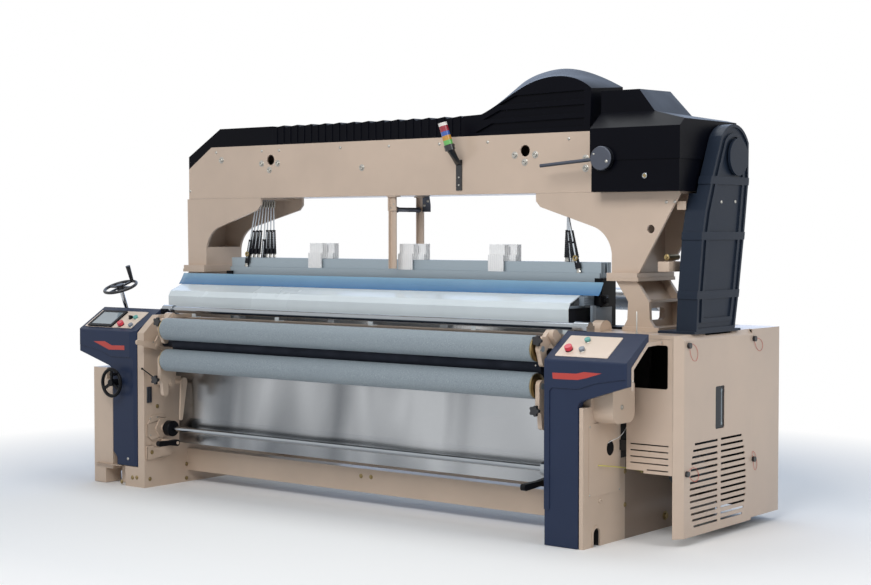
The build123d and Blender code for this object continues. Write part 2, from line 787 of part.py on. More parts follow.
def console(side, inner, outer, leg, knee, leg_foot, leg_notch):
    """Moulded console: an L-shaped front with a leg, hollow and open to the rear."""
    with BuildPart() as shell:
        top = knee + console_rise
        front = [
            (side * inner, leg_foot),
            (side * inner, top),
            (side * outer, top),
            (side * outer, chin_height),
            (side * (leg + 24), leg_top + 3),
            (side * (leg + 7), leg_top - 8),
            (side * leg, leg_top - 26),
            (side * leg, leg_foot + leg_notch * 2),
            (side * (leg - leg_notch), leg_foot + leg_notch),
            (side * (leg - leg_notch), leg_foot),
        ]
        front_profile(0, console_top_depth, front)
        # The leg's face and the lower part are sunk below the head's
        sunk = [
            (side * (inner + 29), leg_foot + 172),
            (side * (inner + 29), chin_height - 38),
            (side * (inner + 45), chin_height - 22),
            (side * leg, chin_height - 22),
            (side * (leg + 110), chin_height + 12),
            (side * (outer + 1), chin_height + 38),
            (side * (outer + 1), leg_top - 100),
            (side * (outer + 1), leg_foot - 1),
            (side * (inner - 1), leg_foot - 1),
            (side * (inner - 1), leg_foot + 172),
        ]
        front_profile(-1, sunk_depth, sunk, Mode.SUBTRACT)
        # Moulded edges beside the head and down the leg
        rounded = []
        for place_x, depth in ((outer, 0), (leg, sunk_depth)):
            along_x = abs(place_x)
            for edge in shell.edges().filter_by(Axis.Z):
                middle = edge.center()
                near = abs(abs(middle.X) - along_x) < 0.1 and abs(middle.Y - front_y - depth) < 0.1
                if near and edge.length > 60:
                    rounded.append(edge)
        fillet(rounded, console_edge)
        cavity = [
            (side * (inner + console_wall), leg_foot - 1),
            (side * (inner + console_wall), top + 1),
            (side * (outer - console_wall), top + 1),
            (side * (outer - console_wall), chin_height + console_wall),
            (side * (leg + 24), leg_top + 3 + console_wall),
            (side * (leg + 4), leg_top - 8 + console_wall),
            (side * (leg - console_wall), leg_top - 26),
            (side * (leg - console_wall), leg_foot + leg_notch * 2),
            (side * (leg - leg_notch - console_wall), leg_foot + leg_notch),
            (side * (leg - leg_notch - console_wall), leg_foot - 1),
        ]
        front_profile(console_wall + sunk_depth, console_top_depth + 1, cavity, Mode.SUBTRACT)
        # Sloping top panel, open behind a short return at the outer end and under the head
        soft_top = 0.84 * knee_soft
        soft_height = knee + soft_top * (top - 5 - knee) / console_top_depth
        slope = [
            (-1, knee - knee_soft),
            (0, knee - knee_soft),
            (0.23 * knee_soft, knee - 0.13 * knee_soft),
            (soft_top, soft_height),
            (console_top_depth, top - 5),
            (console_top_depth + 1, top + 5),
            (-1, top + 5),
        ]
        side_profile(side * (inner - 1), side * (outer + 1), slope, Mode.SUBTRACT)
        opening = [
            (head_return, leg_top - 100),
            (head_return, knee - 22),
            (console_top_depth - 12, top - 44),
            (console_top_depth + 1, top - 40),
            (console_top_depth + 1, leg_top - 100),
        ]
        side_profile(side * (leg - console_wall - 1), side * (outer + 1), opening, Mode.SUBTRACT)
        roof = [
            (soft_top, soft_height - console_wall),
            (console_top_depth, top - 5 - console_wall),
            (console_top_depth, top - 5),
            (soft_top, soft_height),
        ]
        side_profile(side * inner, side * outer, roof)
        block(
            side * (inner - 1), side * (leg + 30), frame_front, console_top_depth + 1,
            0, leg_top - 10, Mode.SUBTRACT,
        )
        if side < 0:
            # Broad bevel beside the frame
            bevel = [
                (-inner + 1, -1),
                (-inner - 56, -1),
                (-inner - 56, 0),
                (-inner + 1, sunk_depth + console_wall),
            ]
            plan_profile(0, top + 10, bevel, Mode.SUBTRACT)
    return shell


slope_angle = math.degrees(math.atan((console_rise - 5) / console_top_depth))


def panel_plane(side, x, along, knee):
    """A plane on the sloping top panel: x across, a distance along the slope, facing outwards."""
    angle = math.radians(slope_angle)
    origin = (side * x, front_y + along * math.cos(angle), knee + along * math.sin(angle))
    return Plane(origin=origin, x_dir=(1, 0, 0), z_dir=(0, -math.sin(angle), math.cos(angle)))


button_place = {
    "right_stop": (right_console_inner + 99, 80),
    "right_start": (right_console_inner + 163, 156),
    "right_jog": (right_console_inner + 173, 80),
    "left_stop": (left_console_inner + 174, 56),
    "left_start": (left_console_inner + 114, 130),
    "left_jog": (left_console_inner + 84, 52),
    "left_selector": (left_console_inner + 158, 130),
}
stop_radius = 15.0
push_radius = 11.0


def drilled_console(side, inner, outer, leg, knee, leg_foot, leg_notch, names):
    """A console with the holes for its buttons."""
    base = console(side, inner, outer, leg, knee, leg_foot, leg_notch)
    with BuildPart() as shell:
        add(base.part)
        for name in names:
            x, along = button_place[name]
            radius = stop_radius if "stop" in name else push_radius
            with BuildSketch(panel_plane(side, x, along, knee).offset(-10)) as hole:
                Circle(radius + 0.4)
            extrude(hole.sketch, amount=20, mode=Mode.SUBTRACT)
    return shell


right_names = ("right_stop", "right_start", "right_jog")
left_names = ("left_stop", "left_start", "left_jog", "left_selector")
console_right_shell = drilled_console(
    1, right_console_inner, right_console_outer, right_leg_outer, right_knee, 2, 0.5, right_names
)
with BuildPart() as console_right:
    add(console_right_shell.part)
    for hole_depth, hole_height, hole_radius in (
        (take_up_depth, take_up_height, take_up_journal + 4),
        (upper_ear[0], upper_ear[1], 30),
    ):
        wall = right_console_inner
        round_bar(wall - 1, wall + console_wall + 1, hole_depth, hole_height, hole_radius, Mode.SUBTRACT)
console_left = drilled_console(
    -1, left_console_inner, left_console_outer, left_leg_outer, left_knee, 122, 42, left_names
)

screen_x = left_console_inner + 344
screen_along = 104.0
screen_width = 214.0
screen_height = 156.0
with BuildPart() as console_panels:
    for side, x, width, knee, names in (
        (1, right_console_inner + 190, 294, right_knee, right_names),
        (-1, left_console_inner + 272, 410, left_knee, left_names),
    ):
        with BuildSketch(panel_plane(side, x, 114, knee)) as inlay:
            RectangleRounded(width, 166, 6)
        extrude(inlay.sketch, amount=inlay_thickness)
        for name in names:
            place_x, along = button_place[name]
            radius = stop_radius if "stop" in name else push_radius
            with BuildSketch(panel_plane(side, place_x, along, knee).offset(-1)) as hole:
                Circle(radius + 0.4)
            extrude(hole.sketch, amount=8, mode=Mode.SUBTRACT)

with BuildPart() as touch_screen:
    bezel = panel_plane(-1, screen_x, screen_along + 6, left_knee).offset(inlay_thickness)
    with BuildSketch(bezel):
        RectangleRounded(screen_width, screen_height, 6)
    extrude(amount=9)
    with BuildSketch(bezel.offset(7)):
        Rectangle(screen_width - 42, screen_height - 38)
    extrude(amount=4, mode=Mode.SUBTRACT)


def push_button(side, name, knee, cap_radius, cap_height, stem_radius):
    """A push button: stem through the panel, cap standing clear by its travel."""
    x, along = button_place[name]
    with BuildPart() as button:
        base = panel_plane(side, x, along, knee).offset(inlay_thickness)
        with BuildSketch(base.offset(-16)):
            Circle(stem_radius)
        extrude(amount=24)
        with BuildSketch(base.offset(8)):
            Circle(cap_radius)
        extrude(amount=cap_height, taper=4)
    return button


emergency_stop_right = push_button(1, "right_stop", right_knee, 20, 16, stop_radius)
emergency_stop_left = push_button(-1, "left_stop", left_knee, 20, 16, stop_radius)
start_button_right = push_button(1, "right_start", right_knee, 15, 8, push_radius)
start_button_left = push_button(-1, "left_start", left_knee, 15, 8, push_radius)
jog_button_right = push_button(1, "right_jog", right_knee, 15, 8, push_radius)
jog_button_left = push_button(-1, "left_jog", left_knee, 15, 8, push_radius)
with BuildPart() as selector_knob:
    selector_x, selector_along = button_place["left_selector"]
    selector_base = panel_plane(-1, selector_x, selector_along, left_knee).offset(inlay_thickness)
    with BuildSketch(selector_base.offset(-16)):
        Circle(push_radius)
    extrude(amount=17)
    with BuildSketch(selector_base.offset(0.3)):
        Circle(15)
    extrude(amount=6)
    with BuildSketch(selector_base.offset(6)):
        SlotOverall(27, 8)
    extrude(amount=12)

# Housing outboard of the left frame, beside the console's leg
housing_outer = frame_outer + 244
housing_top = leg_top - 12
case_top = frame_top - 75
with BuildPart() as left_gear_housing:
    plan = [
        (-frame_outer, frame_front),
        (-left_leg_outer - 4, frame_front),
        (-left_leg_outer - 4, 12),
        (-housing_outer, 12),
        (-housing_outer, 960),
        (-frame_outer, 960),
    ]
    plan_profile(3, housing_top, plan)
    block(-housing_outer - 1, -frame_outer - 24, 130, 800, 2, 60, Mode.SUBTRACT)
    block(-left_leg_outer - 69, -left_leg_outer - 3, 10, 140, 2, 90, Mode.SUBTRACT)
    block(
        -left_leg_outer - 54, -frame_outer + 1, 10, console_top_depth + 6,
        leg_top - 78, housing_top + 2, Mode.SUBTRACT,
    )
    # Gear case that carries the crank wheel's shaft
    block(-housing_outer - 20, -frame_outer, 225, 420, housing_top, case_top)

# End covers at the right
with BuildPart() as end_cover:
    outer_plan = [
        (flange_outer + 4, end_front),
        (end_outer - end_chamfer, end_front),
        (end_outer, end_front + 47),
        (end_outer, end_seam),
        (flange_outer + 4, end_seam),
    ]
    plan_profile(end_bottom, end_top, outer_plan)
    crown = [(end_outer - 20, end_top + 1), (end_outer + 1, end_top + 1), (end_outer + 1, end_top - 27)]
    front_profile(end_front - 1, end_seam + 1, crown, Mode.SUBTRACT)
    for height0, height1, inset in (
        (end_bottom - 1, end_top - 36, 0),
        (end_top - 37, end_top - sheet, 20),
    ):
        inner_plan = [
            (flange_outer + 3, end_front + sheet),
            (end_outer - end_chamfer - 3 - inset, end_front + sheet),
            (end_outer - sheet - inset, end_front + 49),
            (end_outer - sheet - inset, end_seam + 1),
            (flange_outer + 3, end_seam + 1),
        ]
        plan_profile(height0, height1, inner_plan, Mode.SUBTRACT)
    block(
        flange_outer, end_outer - end_chamfer - 4, end_front - 1, end_front + sheet + 1,
        end_bottom - 1, 985, Mode.SUBTRACT,
    )
    block(
        belt_plane - 10, belt_plane + belt_width + 10, slot_front, slot_rear,
        end_top - 10, end_top + 1, Mode.SUBTRACT,
    )
    # Two columns of louvre slots, shorter towards the top and the bottom
    for row in range(louvre_rows):
        height = louvre_bottom + row * louvre_pitch
        inset = louvre_insets[row]
        block(end_outer - 6, end_outer + 1, 428 + inset, 700, height, height + 11, Mode.SUBTRACT)
        block(end_outer - 6, end_outer + 1, 732, 994 - inset, height + 1, height + 12, Mode.SUBTRACT)
    with BuildSketch(side_view(end_outer - 6)) as window:
        with Locations((721, 637)):
            RectangleRounded(90, 208, 10)
    extrude(window.sketch, amount=8, mode=Mode.SUBTRACT)
    for depth, height in ((407, 955), (393, 345)):
        round_bar(end_outer, end_outer + 14, depth, height, 14)

with BuildPart() as rear_end_cover:
    block(flange_outer + 4, end_outer, end_seam, end_rear, 50, end_top)
    block(
        flange_outer + 3, end_outer - sheet, end_seam - 1, end_rear - sheet, 49, end_top - sheet,
        Mode.SUBTRACT,
    )
    # The rear wall reaches in behind the side frame
    block(frame_outer - 50, flange_outer + 5, end_rear - sheet, end_rear, 50, end_top)
    for height in (955, 345):
        round_bar(end_outer, end_outer + 14, end_seam + 16, height, 14)

with BuildPart() as inner_panel:
    panel_points = [
        (frame_outer + 44, 352),
        (frame_outer + 140, 352),
        (frame_outer + 140, 340),
        (end_outer - end_chamfer - 5, 340),
        (end_outer - end_chamfer - 5, 984),
        (frame_outer + 44, 984),
    ]
    front_profile(end_front, end_front + sheet, panel_points)
    with BuildSketch(front_view(end_front + sheet + 1)) as opening:
        with Locations((frame_outer + 164, 852)):
            RectangleRounded(214, 208, 12)
    extrude(opening.sketch, amount=sheet + 2, mode=Mode.SUBTRACT)
    for row in range(5):
        left = frame_outer + (67 if row else 158)
        height = 355 + row * 30
        block(left, end_outer - 58, end_front - 1, end_front + sheet + 1, height, height + 6, Mode.SUBTRACT)
    for height in (440, 900):
        block(frame_outer, frame_outer + 48, end_front + sheet, end_front + sheet + 5, height, height + 50)

with BuildPart() as take_up_cover:
    with BuildSketch(side_view(frame_outer)) as bulge:
        with BuildLine():
            Polyline([(290, 775), (290, 640)])
            JernArc((290, 640), (0, -1), 50, -90)
            Line((240, 590), (160, 590))
            ThreePointArc((160, 590), (112, 606), (96, 640))
            Polyline([(96, 640), (96, 775), (290, 775)])
        make_face()
    extrude(bulge.sketch, amount=112)
    block(frame_outer - 1, frame_outer + 102, 120, 270, 604, 760, Mode.SUBTRACT)

# Breast bar over which the cloth turns, with its end clamps
bar_depth = 250.0
bar_height = frame_top + 27
bar_radius = 19.0
with BuildPart() as breast_bar:
    round_bar(-frame_inner - 60, flange_inner + 40, bar_depth + 12, bar_height, bar_radius)
    for x0 in (-frame_inner - 92, flange_inner + 4):
        block(x0, x0 + 84, bar_depth - 22, bar_depth + 50, frame_top, bar_height + 6)
        round_bar(x0, x0 + 84, bar_depth + 12, bar_height, 26)

# White folded cover above the breast beam, on feet that stand on the beam
cover_left = 41 - frame_outer
cover_right = frame_inner - 115
with BuildPart() as front_cover:
    fold = [
        (352, 1040),
        (350, 1108),
        (368, 1140),
        (460, 1176),
        (460, 1172),
        (371, 1136),
        (354, 1107),
        (356, 1040),
    ]
    side_profile(cover_left, cover_right, fold)
    for x0 in (40 - frame_inner, -700, 0, 700, frame_inner - 150):
        side_profile(x0, x0 + 30, [(355, 1070), (359, 1070), (359, 989), (400, 989), (400, 985), (355, 985)])

with BuildPart() as splash_shield:
    sheet_points = [(458, 1176.2), (478, 1204), (500, 1242), (503, 1240), (481, 1202), (461, 1176.2)]
    side_profile(16 - frame_outer, frame_inner - 5, sheet_points)

with BuildPart() as steel_apron:
    apron_points = [
        (262, 700),
        (256, 560),
        (246, 400),
        (244, 250),
        (247, 250),
        (249, 400),
        (259, 560),
        (265, 700),
    ]
    side_profile(45 - frame_inner, frame_inner - 90, apron_points)
    for x0, x1 in ((-frame_inner, 65 - frame_inner), (frame_inner - 110, frame_inner)):
        side_profile(x0, x1, [(264, 690), (290, 690), (290, 640), (263, 640)])


def roller(radius, x0, x1, journal_radius, depth, height, journal_x0, journal_x1):
    """A plain roller with a journal at each end."""
    with BuildPart() as body:
        round_bar(x0, x1, depth, height, radius)
        chamfer(body.edges().filter_by(GeomType.CIRCLE), 3)
        round_bar(journal_x0, journal_x1, depth, height, journal_radius)
    return body


arm_outer_left = -arm_faces[-1] - arm_thickness
arm_outer_right = arm_faces[1] + arm_thickness
upper_roller = roller(
    press_radius, roller_left, roller_right, journal, roller_depth, upper_height,
    arm_outer_left, arm_outer_right,
)
lower_roller = roller(
    press_radius, roller_left, roller_right, journal, roller_depth, lower_height,
    arm_outer_left, arm_outer_right,
)
take_up_roller = roller(
    take_up_radius, roller_left, roller_right, take_up_journal, take_up_depth, take_up_height,
    -frame_inner - 30, frame_inner + 30,
)
cloth_bar = roller(
    cloth_radius, 102 - frame_inner, frame_inner - 120, cloth_journal, cloth_depth, cloth_height,
    -frame_inner - 15, frame_inner + 15,
)
with BuildPart() as cloth_roller:
    add(cloth_bar.part)
    round_bar(frame_inner - 120, frame_inner - 80, cloth_depth, cloth_height, 36)
with BuildPart() as cloth_knob:
    knob_outer = 36 - frame_inner
    round_bar(knob_outer, knob_outer + 20, cloth_depth, cloth_height, 30)
    round_bar(knob_outer + 20, knob_outer + 64, cloth_depth, cloth_height, 46)
    chamfer(cloth_knob.edges().filter_by(GeomType.CIRCLE).sort_by(Axis.X)[-1:], 4)
    round_bar(
        knob_outer - 1, knob_outer + 65, cloth_depth, cloth_height, cloth_journal + running, Mode.SUBTRACT
    )


def star_knob(x, depth, height):
    """Five-lobed clamping knob on a stud that points to the front."""
    with BuildSketch(front_view(depth)) as lobes:
        with Locations((x, height)):
            Circle(20)
            with PolarLocations(19, 5):
                Circle(8.5)
    extrude(lobes.sketch, amount=16)
    round_stub(x, depth - 1, depth + 30, height, 9)


def swing_arms(pivot, roller_height, lug, foot, knob_depth):
    """The pair of arms that carries one press roller."""
    with BuildPart() as arms:
        for side in (-1, 1):
            inner = side * arm_faces[side]
            outer = side * (arm_faces[side] + arm_thickness)
            link(inner, outer, [(*pivot, 25), (roller_depth, roller_height, 30)])
            link(inner, outer, [(roller_depth, roller_height, 30), (*lug, 19)])
            link(inner, outer, [(roller_depth, roller_height, 28), (*foot, 20)])
            star_knob((inner + outer) / 2 + side * 4, knob_depth, lug[1])
            round_bar(inner - side, outer + side, pivot[0], pivot[1], arm_pin + running, Mode.SUBTRACT)
            round_bar(
                inner - side, outer + side, roller_depth, roller_height, journal + running,
                Mode.SUBTRACT,
            )
    return arms


upper_arms = swing_arms(upper_pivot, upper_height, (58, 974), (66, 866), 20)
lower_arms = swing_arms(lower_pivot, lower_height, (40, 640), (62, 562), 0)

with BuildPart() as tension_lever:
    link(lever_x, lever_x + lever_thickness, [(*lever_pivot, 24), (-30, 850, 14)])
    link(lever_x, lever_x + lever_thickness, [(-30, 850, 14), (-64, 857, 15)])
    link(lever_x, lever_x + lever_thickness, [(*lever_pivot, 20), (96, 880, 12)])
    round_bar(
        lever_x - 1, lever_x + lever_thickness + 1, *lever_pivot, lever_pin + running, Mode.SUBTRACT
    )


def cloth_handle(side, bend, tip):
    """Black catch handle below the cloth roller."""
    with BuildPart() as handle:
        near = side * arm_faces[side]
        far = side * (arm_faces[side] + handle_thickness)
        link(near, far, [(*handle_pivots[side], 19), (*bend, 13)])
        link(near, far, [(*bend, 13), (*tip, 16)])
        round_bar(near - side, far + side, *handle_pivots[side], handle_pin + running, Mode.SUBTRACT)
    return handle


cloth_handle_left = cloth_handle(-1, (90, 266), (22, 268))
cloth_handle_right = cloth_handle(1, (30, 288), (-88, 283))

# Handwheel on the left console's leg
wheel_x = 55 - left_leg_outer
wheel_height = 608.0
with BuildPart() as front_handwheel:
    rim_plane = Plane(origin=(wheel_x, front_y - 46, wheel_height), x_dir=(1, 0, 0), z_dir=(0, 0, 1))
    with BuildSketch(rim_plane) as rim:
        with Locations((78, 0)):
            Circle(10)
    revolve(rim.sketch, axis=Axis((wheel_x, front_y - 46, wheel_height), (0, 1, 0)))
    round_stub(wheel_x, -58, -0.3, wheel_height, 20)
    round_stub(wheel_x, -1, 30, wheel_height, 12)
    for turn in range(3):
        angle = math.radians(90 + 120 * turn)
        spoke_plane = Plane(
            origin=(wheel_x, front_y - 46, wheel_height),
            x_dir=(0, 1, 0),
            z_dir=(math.cos(angle), 0, math.sin(angle)),
        )
        with BuildSketch(spoke_plane) as spoke:
            Rectangle(10, 16)
        extrude(spoke.sketch, amount=74)
    round_stub(wheel_x + 55, -100, -46, wheel_height + 55, 10)

crank_x = 15 - housing_outer
crank_depth = 292.0
crank_lean = 20.0
crank_plane = Plane(
    origin=(crank_x, front_y + crank_depth, case_top),
    x_dir=(1, 0, 0),
    z_dir=(0, -math.sin(math.radians(crank_lean)), math.cos(math.radians(crank_lean))),
)
crank_length = 243.0
with BuildPart() as crank_wheel:
    with BuildSketch(crank_plane.offset(-20)):
        Circle(13)
    extrude(amount=crank_length + 34)
    with BuildSketch(crank_plane.offset(crank_length - 14)):
        Circle(24)
    extrude(amount=30)
    rim_centre = crank_plane.offset(crank_length)
    with BuildSketch(Plane(origin=rim_centre.origin, x_dir=rim_centre.x_dir, z_dir=rim_centre.y_dir)) as rim:
        with Locations((98, 0)):
            Circle(9)
    revolve(rim.sketch, axis=Axis(rim_centre.origin, rim_centre.z_dir))
    with BuildSketch(rim_centre.offset(-5)) as spokes:
        Rectangle(190, 14)
        Rectangle(14, 190)
    extrude(spokes.sketch, amount=10)
    with BuildSketch(rim_centre.offset(4)) as grip:
        with Locations((0, 98)):
            Circle(11)
    extrude(grip.sketch, amount=95, taper=-2)

# Hole for the crank wheel's shaft in its gear case, and for the handwheel in its console
with BuildPart() as left_gear_housing_bored:
    add(left_gear_housing.part)
    with BuildSketch(crank_plane.offset(-60)):
        Circle(13 + running)
    extrude(amount=120, mode=Mode.SUBTRACT)
with BuildPart() as console_left_bored:
    add(console_left.part)
    round_stub(wheel_x, -1, 80, wheel_height, 12 + running, Mode.SUBTRACT)

# Levelling lever on the dobby
disc_x = box_left + 74
disc_height = dobby_height - 8
with BuildPart() as dobby_lever:
    round_stub(disc_x, box_front - lip - 30, box_front - lip - seat_gap, disc_height, 60)
    chamfer(dobby_lever.edges().filter_by(GeomType.CIRCLE).sort_by(Axis.Y)[:1], 4)
    round_stub(disc_x, box_front - lip - 1, box_front + 20, disc_height, 16)
    rod_plane = Plane(
        origin=(disc_x, front_y + box_front - lip - 16, disc_height),
        x_dir=(0, 1, 0),
        z_dir=(-365, 0, -28),
    )
    with BuildSketch(rod_plane.offset(40)):
        Circle(9)
    extrude(amount=326)
with BuildPart() as dobby_box_bored:
    add(dobby_box.part)
    round_stub(disc_x, box_front - 10, box_front + 30, disc_height, 16 + running, Mode.SUBTRACT)
with BuildPart() as dobby_cover_bored:
    add(dobby_cover.part)
    round_stub(disc_x, box_front - 10, box_front + 30, disc_height, 16 + running, Mode.SUBTRACT)

# Main shaft with the driving pulley and the motor's large sheave
with BuildPart() as main_shaft:
    round_bar(-frame_inner - 60, belt_plane + belt_width + 6, main_depth, main_height, shaft_radius)
    round_bar(belt_plane, belt_plane + belt_width, main_depth, main_height, drive_pulley_radius)
    round_bar(motor_plane, motor_plane + motor_belt_width, main_depth, main_height, large_sheave_radius)

with BuildPart() as dobby_pulley:
    round_bar(belt_plane, belt_plane + belt_width, dobby_depth, dobby_height, dobby_pulley_radius)
    round_bar(box_right - 60, belt_plane + belt_width + 6, dobby_depth, dobby_height, 30)

with BuildPart() as drive_motor:
    round_bar(frame_outer + 12, motor_plane - 30, motor_depth, motor_height, 120)
    round_bar(frame_outer, frame_outer + 12, motor_depth, motor_height, 140)
    for turn in range(12):
        angle = math.radians(30 * turn)
        fin_plane = Plane(
            origin=(frame_outer + 20, front_y + motor_depth, motor_height),
            x_dir=(1, 0, 0),
            z_dir=(0, math.cos(angle), math.sin(angle)),
        )
        with BuildSketch(fin_plane.offset(110)) as fin:
            with Locations((75, 0)):
                Rectangle(140, 8)
        extrude(fin.sketch, amount=22)
    round_bar(
        motor_plane - 120, motor_plane - 29, motor_depth, motor_height, 14 + running, Mode.SUBTRACT
    )

with BuildPart() as motor_pulley:
    round_bar(motor_plane, motor_plane + motor_belt_width, motor_depth, motor_height, motor_sheave_radius)
    round_bar(motor_plane - 119, motor_plane + motor_belt_width + 8, motor_depth, motor_height, 14)


def belt(x0, width, first, second):
    """A flat belt round two pulleys, each (depth, height, radius)."""
    outer = [(depth, height, radius + belt_thickness) for depth, height, radius in (first, second)]
    inner = [(depth, height, radius + seat_gap) for depth, height, radius in (first, second)]
    link(x0 + 2, x0 + width - 2, outer)
    link(x0 + 1, x0 + width - 1, inner, Mode.SUBTRACT)


with BuildPart() as dobby_belt:
    belt(
        belt_plane, belt_width,
        (main_depth, main_height, drive_pulley_radius),
        (dobby_depth, dobby_height, dobby_pulley_radius),
    )
with BuildPart() as motor_belt:
    belt(
        motor_plane, motor_belt_width,
        (main_depth, main_height, large_sheave_radius),
        (motor_depth, motor_height, motor_sheave_radius),
    )
with BuildPart() as drive_belts:
    add(dobby_belt.part)
    add(motor_belt.part)

# Sley with its rocking shaft, and the reed in it
with BuildPart() as sley:
    round_bar(-frame_inner - 30, frame_inner + 30, sley_depth, sley_height, sley_shaft)
    for x0 in (100 - reed_half, -430, 380, reed_half - 150):
        link(x0, x0 + 50, [(sley_depth, sley_height, 55), (sley_depth + 30, sley_top - 46, 24)])
    block(-reed_half - 10, reed_half + 10, sley_depth + 6, sley_depth + 66, sley_top - 46, sley_top)
    block(-reed_half, reed_half, sley_depth + 40, sley_depth + 52, reed_slot, sley_top + 1, Mode.SUBTRACT)
dent_count = 33
dent_pitch = (2 * reed_half - 16) / (dent_count - 1)
with BuildPart() as reed:
    block(-reed_half, reed_half, sley_depth + 40, sley_depth + 52, reed_slot, sley_top + 6)
    block(-reed_half, reed_half, sley_depth + 40, sley_depth + 52, reed_height - 14, reed_height)
    for dent in range(dent_count):
        x0 = dent * dent_pitch - reed_half
        block(x0, x0 + 16, sley_depth + 43, sley_depth + 49, sley_top + 4, reed_height - 12)


def heald_pair(first):
    """Two heald frames of one four-end repeat, with their lifting rods."""
    low = heald_lift if first == 0 else 0.0
    with BuildPart() as pair:
        for place in (first, first + heald_count // 2):
            depth0 = heald_front + place * heald_pitch
            depth1 = depth0 + heald_thickness
            middle = (depth0 + depth1) / 2
            top = heald_top - low
            bottom = top - heald_height
            block(-heald_half, heald_half, depth0, depth1, top - heald_slat, top)
            block(-heald_half, heald_half, depth0, depth1, bottom, bottom + heald_slat)
            for side in (-1, 1):
                block(side * (heald_half - 16), side * heald_half, depth0, depth1, bottom, top)
                foot_x = side * (rod_foot - 20 * place)
                head_x = side * (rod_head - 6 * place)
                rod_height = rod_head_height - top
                lean = Vector(head_x - foot_x, 0, rod_height).normalized()
                start = Vector(foot_x, front_y + middle, top - 1)
                for distance, length, radius in (
                    (0, rod_height * 1.2, rod_radius),
                    (55, 100, sleeve_radius),
                ):
                    with BuildSketch(Plane(origin=start + lean * distance, z_dir=lean)) as rod:
                        Circle(radius)
                    extrude(rod.sketch, amount=length)
            for x0 in (-681, -5, 615):
                shift = 41 if place >= heald_count // 2 else 0
                block(x0 + shift, x0 + shift + 100, depth0, depth1, top, top + 88)
    return pair


heald_frames_1 = heald_pair(0)
heald_frames_2 = heald_pair(1)
heald_frames_3 = heald_pair(2)
heald_frames_4 = heald_pair(3)

# Slotted guides in which the frames' ends slide, on brackets from the side frames
with BuildPart() as heald_guides:
    guide_rear = heald_front + heald_count * heald_pitch
    guide_foot = heald_top - 158
    for side in (-1, 1):
        back = heald_half + seat_gap
        block(
            side * (back - 24), side * (back + 22), heald_front - 10, guide_rear + 6, guide_foot,
            guide_foot + 78,
        )
        for place in range(heald_count):
            depth0 = heald_front + place * heald_pitch - seat_gap
            depth1 = depth0 + heald_thickness + 2 * seat_gap
            block(
                side * (back - 25), side * back, depth0, depth1, guide_foot - 1, guide_foot + 79,
                Mode.SUBTRACT,
            )
        block(side * (back + 8), side * (back + 22), heald_front - 10, guide_rear + 6, frame_top, guide_foot)
        block(
            side * (back + 8), side * (frame_inner + 50), heald_front - 10, guide_rear + 6,
            frame_top, frame_top + 12,
        )

# Warp beam and back rest
with BuildPart() as warp_beam:
    warp_half = frame_inner - 120
    round_bar(-warp_half, warp_half, warp_depth, warp_height, warp_barrel)
    for x0 in (10 - warp_half, warp_half - 24):
        round_bar(x0, x0 + 14, warp_depth, warp_height, warp_flange)
    round_bar(-frame_inner - 10, frame_inner + 10, warp_depth, warp_height, 35)
back_rest_roller = roller(
    rest_radius, 90 - frame_inner, frame_inner - 90, 25, rest_depth, rest_height,
    -frame_inner - 10, frame_inner + 10,
)

pieces = {
    "side_frame_right": side_frame_right,
    "side_frame_left": side_frame_left,
    "cross_rails": cross_rails,
    "pedestals": pedestals,
    "gussets": gussets,
    "overhead_beam": overhead_beam,
    "beam_end_cover": beam_end_cover,
    "ribbed_cover": ribbed_cover,
    "hump_cover": hump_cover,
    "dobby_box": dobby_box_bored,
    "dobby_cover": dobby_cover_bored,
    "belt_cover": belt_cover,
    "signal_lamp": signal_lamp,
    "console_right": console_right,
    "console_left": console_left_bored,
    "console_panels": console_panels,
    "touch_screen": touch_screen,
    "emergency_stop_right": emergency_stop_right,
    "emergency_stop_left": emergency_stop_left,
    "start_button_right": start_button_right,
    "start_button_left": start_button_left,
    "jog_button_right": jog_button_right,
    "jog_button_left": jog_button_left,
    "selector_knob": selector_knob,
    "left_gear_housing": left_gear_housing_bored,
    "end_cover": end_cover,
    "rear_end_cover": rear_end_cover,
    "inner_panel": inner_panel,
    "take_up_cover": take_up_cover,
    "breast_bar": breast_bar,
    "front_cover": front_cover,
    "splash_shield": splash_shield,
    "steel_apron": steel_apron,
    "upper_roller": upper_roller,
    "lower_roller": lower_roller,
    "take_up_roller": take_up_roller,
    "cloth_roller": cloth_roller,
    "cloth_knob": cloth_knob,
    "upper_arms": upper_arms,
    "lower_arms": lower_arms,
    "tension_lever": tension_lever,
    "cloth_handle_left": cloth_handle_left,
    "cloth_handle_right": cloth_handle_right,
    "front_handwheel": front_handwheel,
    "crank_wheel": crank_wheel,
    "dobby_lever": dobby_lever,
    "main_shaft": main_shaft,
    "dobby_pulley": dobby_pulley,
    "drive_motor": drive_motor,
    "motor_pulley": motor_pulley,
    "drive_belts": drive_belts,
    "sley": sley,
    "reed": reed,
    "heald_frames_1": heald_frames_1,
    "heald_frames_2": heald_frames_2,
    "heald_frames_3": heald_frames_3,
    "heald_frames_4": heald_frames_4,
    "heald_guides": heald_guides,
    "warp_beam": warp_beam,
    "back_rest_roller": back_rest_roller,
}
for name, piece in pieces.items():
    piece.part.label = name
    export_step(piece.part, f"parts/{name}.step")
print(len(pieces), "pieces written")
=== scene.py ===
import json
import math

import bmesh
import bpy
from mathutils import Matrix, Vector
from mathutils.geometry import tessellate_polygon


